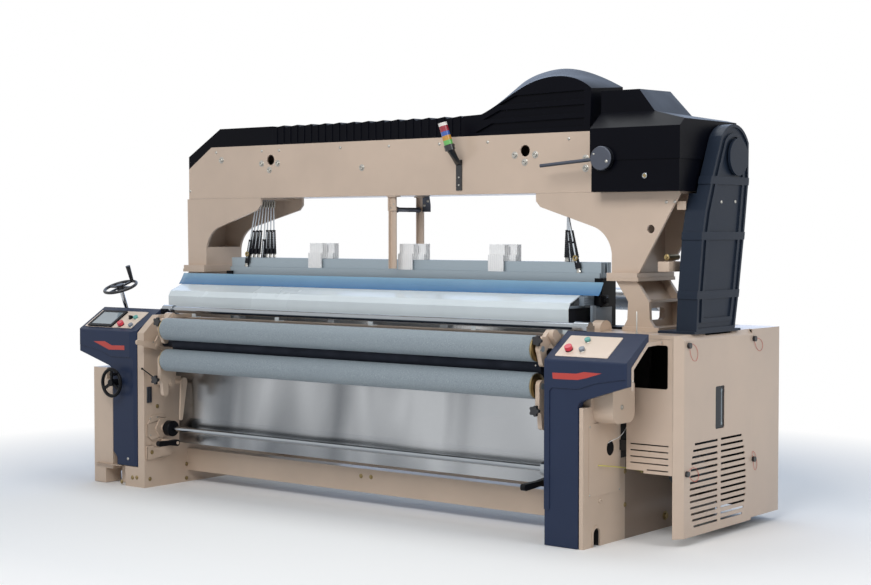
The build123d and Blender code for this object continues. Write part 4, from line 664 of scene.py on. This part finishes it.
fastenerSets = {  # head, finish, facing, places as x, depth, height and at times another head, and a moving body
    "beamWasherBolts": ("washerBolt", "boltSteel", toFront, [
        (-1306, 535, 1920), (-973, 535, 1891), (-844, 535, 1890), (-910, 535, 1853), (-198, 535, 1850),
        (848, 535, 1890), (977, 535, 1889), (911, 535, 1852), (1285, 535, 1862), (1285, 535, 1812)]),
    "beamCoverScrews": ("panScrew", "boltSteel", toFront, [
        (-1350, 535, 1967), (-971, 535, 1965), (-833, 535, 1965), (-358, 535, 1966), (-2, 535, 1964),
        (351, 535, 1964), (674, 535, 1964), (1184, 535, 1964), (-1578, 535, 1739)]),
    "gussetScrews": ("panScrew", "boltSteel", toFront, [(1752, 535, 1638), (1799, 535, 1639)]),
    "lampBracketScrews": ("smallScrew", "boltSteel", toFront, [(486.5, 529, 1782), (486.5, 529, 1741)]),
    "beltCoverScrews": ("panScrew", "boltSteel", toRight, [(1942, 735, 1639), (1942, 877, 1642)]),
    "accessPlateScrews": ("smallScrew", "boltSteel", toRight, [
        (1619, 68, 575), (1619, 66, 251), (1619, 330, 251), (1619, 330, 575)]),
    "rightFrameBolts": ("sunkBolt", "boltBrass", toRight, [(1616, 386, 167), (1616, 385, 330)]),
    "rightFrameNut": ("largeBolt", "boltBrass", toRight, [(1616, 769, 62)]),
    "takeUpCoverBolt": ("sunkBolt", "boltSteel", toRight, [(1728, 175, 667)]),
    "levellingDiscScrews": ("panScrew", "boltSteel", toFront, [
        (1410, 414, 1876, "smallScrew"), (1484, 414, 1838)], "levelling_lever"),
}


def addHeads(name, head, finish, facing, places, body=root):
    makePiece(name, finish, *[
        (addLathe, place(*spot[:3]), facing, headProfiles[spot[3] if len(spot) > 3 else head]) for spot in places
    ], body=body)


for setName, setLook in fastenerSets.items():
    addHeads(setName, *setLook)
print("stage: fasteners")

# Dobby lock, and the hangers under the beam's middle

lockLook = {
    "centre": (1683, 445, 1765), "slitDepth": 442.8, "slitThick": 0.6,
    "ring": [(9.4, 0), (14, 0), (14, 2.4), (12.8, 3.6), (10, 3.6), (9.4, 3), (9.4, 0)],
    "plug": [(0, 0), (9.1, 0), (9.1, 2.2), (0, 2.2)],
    "slit": [(1681.8, 1759.5), (1684.2, 1759.5), (1684.2, 1770.5), (1681.8, 1770.5)],
}


def buildLock(look):
    centre, slit = place(*look["centre"]), onFront(look["slitDepth"], look["slit"])
    makePiece("dobbyLockRing", "chrome", (addLathe, centre, toFront, look["ring"], 32))
    makePiece("dobbyLockPlug", "boltBrass", (addLathe, centre, toFront, look["plug"], 32),
              (addPrism, slit, toFront, look["slitThick"]))


buildLock(lockLook)

hangerLook = {  # a sleeve between two brackets, whose outlines are x and height
    "sleeve": (12, 579, 1615), "length": 200,
    "half": [(0, 0), (16.5, 0), (16.5, 12), (12.5, 13), (12.5, 97)], "groove": (11, 100),
    "frontDepth": 552, "frontThick": 4, "rearDepth": 794, "rearThick": 5,
    "frontBracket": [(-21, 1608), (35, 1608), (35, 1660), (28, 1686), (-21, 1686)],
    "rearBracket": [(32, 1604), (87, 1604), (87, 1640), (78, 1692), (32, 1692)],
    "screws": [(0, 548, 1624, "smallScrew"), (22, 548, 1644, "smallScrew"), (46, 789, 1640), (70, 789, 1664)],
}


def buildHangerFittings(look):
    sleeve = mirrored(look["half"], look["length"], look["groove"])
    front = onFront(look["frontDepth"], look["frontBracket"])
    rear = onFront(look["rearDepth"], look["rearBracket"])
    makePiece("hangerSleeve", "leverSteel", (addLathe, place(*look["sleeve"]), -toFront, sleeve))
    makePiece("hangerFrontBracket", "beigeEnamel", (addPrism, front, toFront, look["frontThick"]))
    makePiece("hangerRearBracket", "leverSteel", (addPrism, rear, toFront, look["rearThick"]))
    addHeads("hangerScrews", "panScrew", "boltSteel", toFront, look["screws"])


buildHangerFittings(hangerLook)
print("stage: beam fittings")

# Boots, clamps, collars and eyelets on the healds' lifting rods, and wires between the slats

rodLook = {  # millimetres as the frames stand at rest, with steps from each row to the next
    "footX": 1190, "footStep": 20, "headX": 1098, "headStep": 6, "headHeight": 1690,
    "front": 617, "pitch": 14, "thickness": 10, "top": 1338, "firstDrop": 55,
    "bootFrom": 22, "bootTo": 165, "bootRibs": 14, "bootLow": 17.0, "bootHigh": 13.0, "bootGroove": 1.8,
    "clamp": [(0, 1), (13, 1), (13, 8), (10.6, 11), (10.6, 17), (12, 19), (12, 22), (0, 22)],
    "collarHeights": (1638, 1672), "collarRadius": 13.5, "collarWaist": 11.3, "collarGroove": (3, 2), "oval": 0.394,
    "eyeUp": 0.078, "eyeOut": 0.0058,
    "eye": [(6, 0), (14.5, 0), (15.5, 1.5), (15.5, 5), (14.5, 6.5), (8, 6.5), (6, 5), (6, 0)],
}
wireLook = {"half": 1296, "pitch": 9.0, "width": 1.7, "thick": 0.9, "slat": 60, "height": 540, "shift": 3, "bite": 1}


def rowPlane(look, row):  # depth of a frame's middle, and height of its top
    depth = look["front"] + row * look["pitch"] + look["thickness"] / 2
    return depth, look["top"] - (look["firstDrop"] if row % 4 == 0 else 0)


def rodLine(look, row, side):
    depth, top = rowPlane(look, row)
    foot = place(side * (look["footX"] - look["footStep"] * row), depth, top)
    head = place(side * (look["headX"] - look["headStep"] * row), depth, look["headHeight"])
    return foot, (head - foot).normalized()


def bootProfile(look):
    ribs, start, end, groove = look["bootRibs"], look["bootFrom"], look["bootTo"], look["bootGroove"]
    step = (end - start) / ribs
    profile = [(0, start)]
    for rib in range(ribs):
        share = rib / (ribs - 1)
        radius = look["bootLow"] * (1 - share) + look["bootHigh"] * share
        profile += [(radius - groove, start + step * rib), (radius, start + step * (rib + 0.5))]
    return profile + [(look["bootHigh"] - groove, end), (0, end)]


def collarProfile(look, low, high):
    radius, middle = look["collarRadius"], (low + high) / 2
    edge, groove = look["collarGroove"]
    half = [(0, low), (radius, low), (radius, middle - edge), (look["collarWaist"], middle - groove)]
    return mirrored(half, low + high)


def makeOval(shape, look, rows):  # flat sections keep each rod's fittings clear of the next rod at every height
    planes = [place(0, rowPlane(look, row)[0], 0).y for row in rows]
    for vert in shape.verts:
        plane = min(planes, key=lambda middle: abs(vert.co.y - middle))
        vert.co.y = plane + (vert.co.y - plane) * look["oval"]


def buildRodFittings(look, pair):
    rows = (pair, pair + 4)
    boots, clamps = [], []
    for row in rows:
        for side in (-1, 1):
            foot, along = rodLine(look, row, side)
            low, high = [(height - rowPlane(look, row)[1]) / along.z for height in look["collarHeights"]]
            boots.append((addLathe, foot, along, bootProfile(look), 14))
            clamps.append((addLathe, foot, along, look["clamp"], 12))
            clamps.append((addLathe, foot, along, collarProfile(look, low, high), 14))
    flatten, body = (makeOval, look, rows), "shed_%d" % (pair + 1)
    makePiece("rodBoots%d" % (pair + 1), "bootRubber", *boots, flatten, body=body)
    makePiece("rodClamps%d" % (pair + 1), "boltSteel", *clamps, flatten, body=body)


def buildEyelets(look):  # an eye on the outermost rod at each side
    steps = []
    for side in (-1, 1):
        foot, along = rodLine(look, 0, side)
        centre = foot + along * look["eyeUp"] + toFront * look["eyeOut"]
        steps.append((addLathe, centre, toFront, look["eye"], 28))
    makePiece("rodEyelets", "boltBrass", *steps, body="shed_1")


def addWires(shape, rods, look, row):
    depth, top = rowPlane(rods, row)
    low, high = top - look["height"] + look["slat"] - look["bite"], top - look["slat"] + look["bite"]
    for index in range(int(2 * look["half"] / look["pitch"]) + 1):
        x = -look["half"] + index * look["pitch"] + (row % 3 - 1) * look["shift"]
        verts = [
            shape.verts.new(place(x + dx * look["width"] / 2, depth + dy * look["thick"] / 2, z))
            for z in (low, high) for dx, dy in ((-1, -1), (1, -1), (1, 1), (-1, 1))
        ]
        for face in ((0, 1, 5, 4), (1, 2, 6, 5), (2, 3, 7, 6), (3, 0, 4, 7), (3, 2, 1, 0), (4, 5, 6, 7)):
            shape.faces.new([verts[corner] for corner in face])


for pairIndex in range(4):
    buildRodFittings(rodLook, pairIndex)
buildEyelets(rodLook)
print("stage: lifting rods' fittings")

for pairIndex in range(4):
    wireSteps = [(addWires, rodLook, wireLook, row) for row in (pairIndex, pairIndex + 4)]
    makePiece("healdWires%d" % (pairIndex + 1), "shaftSteel", *wireSteps, body="shed_%d" % (pairIndex + 1))
print("stage: heald wires")

# Right-hand selvedge parts behind the white cover, and the beam's folded lip

selvedgeLook = {  # blocks as low corner, high corner (x, depth, height) and chamfer
    "darkPanel": ((1294, 366, 1010), (1298, 600, 1112), 0.8),
    "strip": ((1294, 364, 1112), (1312, 596, 1124), 1.2),
    "post": ((1384, 428, 1006), (1398, 460, 1128), 1.2),
    "plate": ((1376, 470, 1006), (1380, 636, 1116), 1.2),
    "box": ((1322, 424, 1124), (1350, 546, 1172), 1.2),
    "ribs": 4, "ribX": (1349, 1353), "ribDepth": (430, 540), "ribHalf": 2, "ribChamfer": 0.8,
    "plug": ((1352, 512, 1122), (1392, 586, 1176), 3), "plugFront": (1391, 549, 1149),
    "plugEnd": [(0, 0), (19, 0), (19, 10), (14, 13), (14, 20), (0, 20)],
}
beamLip = {"low": (-1586, 533.2, 1690.6), "high": (1366, 535.2, 1697), "chamfer": 0.9}


def buildSelvedge(look):
    makePiece("coverEndPanel", "bootRubber", (addBlock, *look["darkPanel"]))
    blocks = [(addBlock, *look[name]) for name in ("strip", "plate", "post", "box")]
    (x0, x1), (depth0, depth1), half = look["ribX"], look["ribDepth"], look["ribHalf"]
    low, high = look["box"][0][2], look["box"][1][2]
    for rib in range(look["ribs"]):
        height = low + (high - low) * (rib + 0.5) / look["ribs"]
        blocks.append((addBlock, (x0, depth0, height - half), (x1, depth1, height + half), look["ribChamfer"]))
    makePiece("selvedgeCase", "slateGrey", *blocks)
    makePiece("selvedgePlug", "blackPlastic", (addBlock, *look["plug"]),
              (addLathe, place(*look["plugFront"]), toRight, look["plugEnd"]))


buildSelvedge(selvedgeLook)
makePiece("beamFoldedLip", "beigeSheet", (addBlock, beamLip["low"], beamLip["high"], beamLip["chamfer"]))
print("stage: selvedge parts and beam lip")

# Right side: access plate, flashes, window, trim, arch lip, bearing cap and shelf; pairs are depth and height

accessPlate = {"face": 1616.3, "thick": 2.6, "corners": (60, 338, 243, 588), "round": 7,
               "hole": (247, 458), "radii": (33, 36), "rim": 1.2, "rimThick": 0.8, "shadeThick": 0.3}


def buildAccessPlate(look):
    outline = onSide(look["face"], roundedOutline(*look["corners"], look["round"]))
    centre = place(look["face"], *look["hole"])
    wide, tall = look["radii"]
    hole, inner = [ringPoints(centre, -toFront, upward, wide - less, tall - less, 32) for less in (0, look["rim"])]
    makePiece("accessPlate", "beigeEnamel", (addPrism, outline, toRight, look["thick"], [hole]))
    # the black disc that fills the hole is painted shade, standing for the dark inside behind the plate
    makePiece("accessHoleShade", "blackPlastic", (addPrism, hole, toRight, look["rimThick"], [inner]),
              (addPrism, inner, toRight, look["shadeThick"]))


buildAccessPlate(accessPlate)

flashDepth, flashThick = -0.05, 0.5
flashes = {  # plain red stripes on the consoles' fronts: x and height
    "rightConsoleFlash": [(1450, 828), (1453, 799), (1591, 801), (1634, 810), (1726, 838), (1626, 840), (1584, 830)],
    "leftConsoleFlash": [(-1848, 841), (-1748, 845), (-1686, 823), (-1576, 826), (-1574, 800), (-1711, 797)],
}
for flashName, flashOutline in flashes.items():
    makePiece(flashName, "stripeRed", (addPrism, onFront(flashDepth, flashOutline), toFront, flashThick))

windowLook = {  # sight window in the end cover, and its level tube
    "pane": (677.5, 764.5, 534.5, 739.5), "round": 9, "x": 1944.2, "thick": 1.6,
    "foot": (1943.7, 741, 548), "length": 178, "half": [(0, 0), (4.8, 0), (6, 3), (6, 12), (4.2, 16)],
}


def buildWindow(look):
    pane = onSide(look["x"], roundedOutline(*look["pane"], look["round"]))
    tube = mirrored(look["half"], look["length"])
    makePiece("sightPane", "sightPane", (addPrism, pane, toRight, look["thick"]))
    makePiece("sightTube", "screenFace", (addLathe, place(*look["foot"]), upward, tube))


buildWindow(windowLook)

rightTrim = {  # pale edging on the console's outer side
    "x": 1857.1, "thick": 2.4, "screws": [(1859.5, 55, 804), (1859.5, 150, 937), (1859.5, 312, 971)],
    "outline": [(46.3, 760), (46.3, 866.6), (188, 975.8), (324.7, 980), (324.7, 962), (192, 957), (64, 858), (64, 760)],
}
trimOutline = onSide(rightTrim["x"], rightTrim["outline"])
makePiece("rightConsoleTrim", "beigeSheet", (addPrism, trimOutline, toRight, rightTrim["thick"]))
addHeads("rightConsoleTrimScrews", "smallScrew", "boltSteel", toRight, rightTrim["screws"])

archLip = {
    "x": 1616.1, "thick": 3.5, "depth": 130, "height": 60, "inner": 29, "outer": 41, "floor": 1,
    "stud": (1616.2, 160, 214), "studProfile": [(0, 0), (12, 0), (12, 4), (9, 7), (5, 7), (5, 3), (0, 3)],
}


def buildArchLip(look):  # raised rim round the small arch at the frame's foot
    depth, floor = look["depth"], look["floor"]
    outer, inner = [
        [(depth + radius, floor), *arc(depth, look["height"], radius, radius, 0, 180, 12), (depth - radius, floor)]
        for radius in (look["outer"], look["inner"])
    ]
    makePiece("frameArchLip", "beigeEnamel", (addPrism, onSide(look["x"], outer + inner[::-1]), toRight, look["thick"]),
              (addLathe, place(*look["stud"]), toRight, look["studProfile"]))


buildArchLip(archLip)

bearingCap = {
    "x": 1432, "thick": 54, "depth": 413, "height": 1006, "radius": 54, "flat": 12, "ease": 2, "pin": (1712, 330, 1004),
    "pinProfile": [(0, 0), (7, 0), (7, 6), (3.4, 8), (3.4, 107), (2.6, 108.5), (0, 108.5)],
}


def buildBearingCap(look):  # half-round cap on the frame's top behind the console, and a pin
    depth, height, radius, flat = look["depth"], look["height"], look["radius"], look["flat"]
    outline = [(depth + radius, height - 1), (depth - radius, height - 1),
               *arc(depth, height + flat, radius, radius - flat, 180, 0, 16)]
    makePiece("bearingCap", "beigeEnamel", (addPrism, onSide(look["x"], outline), toRight, look["thick"]),
              (easeClamped, look["ease"]))
    makePiece("frameTopPin", "boltSteel", (addLathe, place(*look["pin"]), upward, look["pinProfile"], 16))


buildBearingCap(bearingCap)

gussetShelf = {  # two blocks with their chamfers, and a brown roller
    "shelf": ((1736, 480, 1300), (1800, 640, 1350), 4), "lug": ((1800, 552, 1600), (1848, 558, 1642), 1.5),
    "roller": (1768, 500, 1370), "length": 128, "half": [(0, 0), (7.5, 0), (7.5, 10), (15, 12)],
}


def buildGussetShelf(look):  # small bracket with a roller behind the right gusset
    roller = mirrored(look["half"], look["length"])
    makePiece("gussetShelf", "beigeEnamel", (addBlock, *look["shelf"]), (addBlock, *look["lug"]))
    makePiece("gussetShelfRoller", "boltBrass", (addLathe, place(*look["roller"]), -toFront, roller))


buildGussetShelf(gussetShelf)
print("stage: right side fittings")

# Consoles

panelLook = {  # slope of the tops, height of each console's knee, and places as console, x, distance up the slope
    "run": 200, "rise": 126, "inlay": 3.0, "knees": {"right": 889, "left": 909},
    "collars": [("right", 1502, 80), ("left", -1652, 56)],
    "collar": [(0, 0), (19, 0), (19, 1.0), (17.5, 1.7), (0, 1.7)],
    "bezels": [("right", 1566, 156), ("right", 1576, 80), ("left", -1592, 130), ("left", -1562, 52)],
    "bezel": [(0, 0), (15, 0), (15, 1.2), (13.2, 2.9), (11.6, 2.9), (11.6, 1.0), (0, 1.0)],
    "selectors": [("left", -1636, 130)],
    "selector": [(11.5, 0), (14.5, 0), (14.5, 1.0), (12.8, 2.2), (11.5, 2.2), (11.5, 0)],
    "screen": ("left", -1822, 110), "screenFloor": 10.05, "screenHalves": (85.5, 58.5), "screenThick": 1.2, "round": 3,
}


def buildPanelFittings(look):
    slope = math.atan2(look["rise"], look["run"])
    along = Vector((0, math.cos(slope), math.sin(slope)))
    out = Vector((0, -math.sin(slope), math.cos(slope)))

    def onPanel(side, x, distance, above=look["inlay"]):
        return place(x, 0, look["knees"][side]) + (along * distance + out * above) / 1000

    def turned(places, profile):
        return [(addLathe, onPanel(*spot), out, look[profile], 32) for spot in look[places]]

    makePiece("stopCollars", "blackPlastic", *turned("collars", "collar"))
    makePiece("buttonBezels", "boltSteel", *turned("bezels", "bezel"), *turned("selectors", "selector"))
    wide, tall = look["screenHalves"]
    centre = onPanel(*look["screen"], look["screenFloor"])
    outline = roundedOutline(-wide, wide, -tall, tall, look["round"])
    glass = [centre + (toRight * u + along * v) / 1000 for u, v in outline]
    makePiece("touchScreenGlass", "screenFace", (addPrism, glass, out, look["screenThick"]))


buildPanelFittings(panelLook)
print("stage: console fittings")

# Roller ends, screws on the press arms, and the fittings on the left frame's inner face

rollerEnds = {
    "heights": {"upper_press_roller": 933, "lower_press_roller": 754}, "depth": 50, "right": 1324.5, "left": -1262.5,
    "cap": [(0, 0), (60, 0), (62, 1.6), (62, 6.2), (59, 8.2), (44, 8.2), (43, 5), (0, 5)],
}


def buildRollerEnds(look):
    for body, height in look["heights"].items():
        makePiece(body.replace("_roller", "") + "EndCaps", "boltBrass", *[
            (addLathe, place(look[side], look["depth"], height), facing, look["cap"], 48)
            for side, facing in (("right", toRight), ("left", toLeft))
        ], body=body)


buildRollerEnds(rollerEnds)

leftFrame = {  # outlines are depth and height; bolts are distance from the frame's face, depth, height
    "x": -1420, "ease": 2, "slottedThick": 7, "bearingThick": 10, "shelfThick": 12,
    "slottedPlate": [(32, 497), (66, 497), (66, 590), (32, 590)],
    "slots": [[(39, 512), (43, 512), (43, 574), (39, 574)], [(52, 505), (58, 505), (58, 582), (52, 582)]],
    "bearingPlate": [(30, 300), (30, 372), (66, 420), (150, 424), (172, 396), (172, 300), (140, 274), (62, 274)],
    "shelf": [(24, 163), (24, 248), (66, 248), (78, 232), (205, 232), (238, 214), (214, 176), (150, 163)],
    "brassBolts": [(0, 344, 106), (0, 343, 22), (0, 53, 49), (0, 457, 163), (0, 114, 471), (12, 60, 206)],
    "steelBolts": [(10, 48, 404), (10, 104, 408), (10, 156, 384), (10, 52, 306), (10, 150, 300)],
}


def buildLeftFrameFittings(look):
    def plate(name, *holes):
        slots = [onSide(look["x"], hole) for hole in holes]
        return (addPrism, onSide(look["x"], look[name]), toRight, look[name.replace("Plate", "") + "Thick"], slots)

    def bolts(name):
        return [(look["x"] + out, depth, height) for out, depth, height in look[name]]

    makePiece("leftSlottedPlate", "leverSteel", plate("slottedPlate", *look["slots"]))
    makePiece("leftFramePlates", "beigeEnamel", plate("bearingPlate"), plate("shelf"), (easeClamped, look["ease"]))
    addHeads("leftFrameBrassBolts", "sunkBolt", "boltBrass", toRight, bolts("brassBolts"))
    addHeads("leftBearingBolts", "smallScrew", "boltSteel", toRight, bolts("steelBolts"))


buildLeftFrameFittings(leftFrame)

footLook = {  # pedal outline as x and depth; screws as head, finish and place
    "pedal": [(-1834, -6), (-1690, -10), (-1618, 14), (-1622, 60), (-1700, 52), (-1830, 12)],
    "pedalHeight": 112, "pedalThick": 5, "ease": 1.2,
    "screws": [("sunkBolt", "boltBrass", (-1525, 12, 53)), ("sunkBolt", "boltBrass", (-1487, 12, 56)),
               ("sunkBolt", "boltBrass", (-1618, 12, 20)), ("panScrew", "boltSteel", (-1556, 6, 161))],
}


def buildLeftFoot(look):  # pedal below the left console, and the bolts round it
    outline = [place(x, depth, look["pedalHeight"]) for x, depth in look["pedal"]]
    makePiece("leftPedal", "beigeEnamel", (addPrism, outline, upward, look["pedalThick"]), (easeClamped, look["ease"]))
    for index, (head, finish, spot) in enumerate(look["screws"]):
        addHeads("leftFootScrew%d" % (index + 1), head, finish, toFront, [spot])


buildLeftFoot(footLook)

lockLever = {
    "points": [(-1402, -14, 698), (-1370, -14, 684), (-1318, -12, 658), (-1302, -8, 650)],
    "radius": 3.6, "overlap": 0.002, "tip": [(0, 0), (4.55, 0), (6.5, 3), (6.5, 9), (3.9, 12), (0, 13)],
}
armScrews = {  # the left arm's screws mirror the right one's, and their x adds up to this sum
    "sum": 50, "places": {"upper_arm_pair": [(1362, 28, 929), (1362, -12, 858)], "lower_arm_pair": [(1362, 22, 746)]},
}


def buildLockLever(look):  # thin black lever on the lower left arm's clamp
    points = [place(*spot) for spot in look["points"]]
    along = (points[0] - points[1]).normalized()
    makePiece("armLockLever", "blackPlastic", (addTube, points, look["radius"]),
              (addLathe, points[0] - along * look["overlap"], along, look["tip"], 16), body="lower_arm_pair")


def buildArmScrews(look):
    for body, places in look["places"].items():
        steps = []
        for x, depth, height in places:
            for sideX, facing in ((x, toRight), (look["sum"] - x, toLeft)):
                steps.append((addLathe, place(sideX, depth, height), facing, headProfiles["smallScrew"]))
        makePiece(body + "Screws", "boltSteel", *steps, body=body)


buildLockLever(lockLever)
buildArmScrews(armScrews)

barBolts = [(1430, 262, 1038), (1468, 262, 1038), (-1490, 262, 1038), (-1452, 262, 1038)]
addHeads("railBolts", "sunkBolt", "boltBrass", toFront, [(-48, 350, 158), (24, 350, 159)])
addHeads("barClampBolts", "socketBolt", "boltSteel", upward, barBolts)
print("stage: roller ends and left frame")

# Hoses and the thumb knobs' cords

cordLooks = {  # radius in millimetres, length in metres, and control points x, depth, height
    "yellowHose": dict(radius=3.0, length=0.410, finish="tubeYellow", stiffness="medium", lay="taut", points=[
        (1612, 137, 386), (1630, 142, 386), (1640, 165, 383), (1641, 270, 367), (1640, 400, 344), (1638, 505, 320),
        (1630, 530, 312), (1612, 540, 308)]),
    "whiteHose": dict(radius=1.8, length=0.383, finish="whiteNylon", stiffness="medium", lay="loose", points=[
        (1470, 250, 452), (1540, 250, 456), (1600, 240, 474), (1628, 228, 492), (1640, 246, 500), (1640, 292, 507),
        (1640, 340, 530), (1634, 385, 566), (1612, 410, 590)]),
}
knobX = 1952.6
knobCord = dict(radius=0.9, finish="cordRed", stiffness="limp", lay="hanging")
knobLoops = {  # a loop beside each thumb knob: the knob's depth and height, the length, and points from the knob
    "upperFront": (407, 955, 0.250, [(6, 4), (14, -40), (36, -72), (74, -80), (92, -46), (74, -10), (38, 8), (10, 8)]),
    "upperRear": (1066, 955, 0.250, [
        (8, 6), (40, 2), (86, -12), (100, -48), (70, -70), (34, -56), (12, -30), (4, -8)]),
    "lowerFront": (393, 345, 0.250, [
        (8, 6), (40, 26), (88, 22), (118, -10), (112, -40), (76, -48), (40, -26), (10, -6)]),
    "lowerRear": (1066, 345, 0.204, [
        (-4, 8), (-20, 36), (10, 40), (36, 0), (42, -44), (22, -64), (4, -40), (2, -8)]),
}
for knobName, (knobDepth, knobHeight, loopLength, loopPoints) in knobLoops.items():
    spots = [(knobX, knobDepth + out, knobHeight + up) for out, up in loopPoints]
    cordLooks[knobName + "KnobCord"] = dict(knobCord, length=loopLength, points=spots)


def buildCord(name, look):
    points = [place(*spot) for spot in look["points"]]
    curve = bpy.data.curves.new(name, "CURVE")
    curve.dimensions = "3D"
    spline = curve.splines.new("NURBS")
    spline.points.add(len(points) - 1)
    for control, point in zip(spline.points, points):
        control.co = (*point, 1.0)
    spline.order_u = 3
    spline.use_endpoint_u = True
    curve.resolution_u = 10
    curve.bevel_depth = look["radius"] / 1000
    curve.bevel_resolution = 3
    curve.use_fill_caps = True
    curve.materials.append(materials[look["finish"]])
    cord = linkObject(name, curve)
    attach(cord, root)


for cordName, cordLook in cordLooks.items():
    buildCord(cordName, cordLook)
print("stage: hoses and cords")


# Stage and light

def seenRays(tree):  # one where the eye looks straight, through a sheet or into a mirror
    ray = addNode(tree, "ShaderNodeLightPath").outputs
    straight = calculate(tree, "MAXIMUM", ray["Is Camera Ray"], ray["Is Glossy Ray"])
    return calculate(tree, "MAXIMUM", straight, ray["Is Transmission Ray"])


def mixShaders(tree, factor, first, second):
    return feedInOrder(tree, addNode(tree, "ShaderNodeMixShader"), (factor, first, second))[0]


white = (1.0, 1.0, 1.0, 1.0)
stageLook = {"size": 40, "grey": 0.93, "rough": 0.85, "shine": 0.15, "whiteFrom": 2.4, "whiteTo": 4.2}
worldLook = {"fill": 0.26, "tint": (0.95, 0.98, 1.0)}
lamps = {  # place, target, size in metres, power in watts
    "keyLamp": dict(at=(2.0, -6.0, 5.5), to=(0.2, -0.2, 0.9), size=(4.5, 3.0), power=285, tint=(1.0, 1.0, 1.0)),
    "sideLamp": dict(at=(7.0, -0.6, 3.8), to=(1.6, 0.0, 0.8), size=(3.0, 3.0), power=88, tint=(1.0, 1.0, 1.0)),
    "topLamp": dict(at=(0.0, 0.5, 6.5), to=(0.0, 0.0, 1.0), size=(5.0, 3.0), power=120, tint=(0.92, 0.97, 1.0)),
    "skyPanel": dict(at=(-4.0, 8.0, 5.0), to=(0.0, 0.0, 1.6), size=(16.0, 9.0), power=320, tint=(0.13, 0.44, 1.0)),
}


def buildStage(look):  # a pale floor that turns to plain white away from the machine
    mesh = bpy.data.meshes.new("studioFloor")
    shape = bmesh.new()
    bmesh.ops.create_grid(shape, x_segments=1, y_segments=1, size=look["size"])
    shape.to_mesh(mesh)
    shape.free()
    floor = linkObject("studioFloor", mesh)
    material, tree, shader = newMaterial("paleFloor")
    grey = look["grey"]
    feed(tree, shader, Base_Color=(grey, grey, grey, 1.0), Roughness=look["rough"], Specular_IOR_Level=look["shine"])
    far = mapRange(tree, vectors(tree, "LENGTH", objectSpace(tree)), look["whiteFrom"], look["whiteTo"])
    glow = feed(tree, addNode(tree, "ShaderNodeEmission"), Color=white, Strength=1.0)
    mixed = mixShaders(tree, multiply(tree, far, seenRays(tree)), shader.outputs[0], glow.outputs[0])
    output = next(node for node in tree.nodes if node.bl_idname == "ShaderNodeOutputMaterial")
    feed(tree, output, Surface=mixed)
    mesh.materials.append(material)


def buildWorld(look):
    world = bpy.data.worlds.new("studioWorld")
    bpy.context.scene.world = world
    world.use_nodes = True
    tree = world.node_tree
    tree.nodes.clear()
    lit, plain = [
        feed(tree, addNode(tree, "ShaderNodeBackground"), Color=colour, Strength=strength).outputs[0]
        for colour, strength in (((*look["tint"], 1.0), look["fill"]), (white, 1.0))
    ]
    feed(tree, addNode(tree, "ShaderNodeOutputWorld"), Surface=mixShaders(tree, seenRays(tree), lit, plain))


def buildLamp(name, look):
    lamp = bpy.data.lights.new(name, "AREA")
    lamp.shape = "RECTANGLE"
    lamp.size, lamp.size_y = look["size"]
    lamp.energy = look["power"]
    lamp.color = look["tint"]
    holder = linkObject(name, lamp)
    holder.location = look["at"]
    toward = Vector(look["to"]) - Vector(look["at"])
    holder.rotation_euler = toward.to_track_quat("-Z", "Y").to_euler()


buildStage(stageLook)
buildWorld(worldLook)
for lampName, lampLook in lamps.items():
    buildLamp(lampName, lampLook)
bpy.context.scene.view_settings.view_transform = "Standard"
print("stage: floor and light")
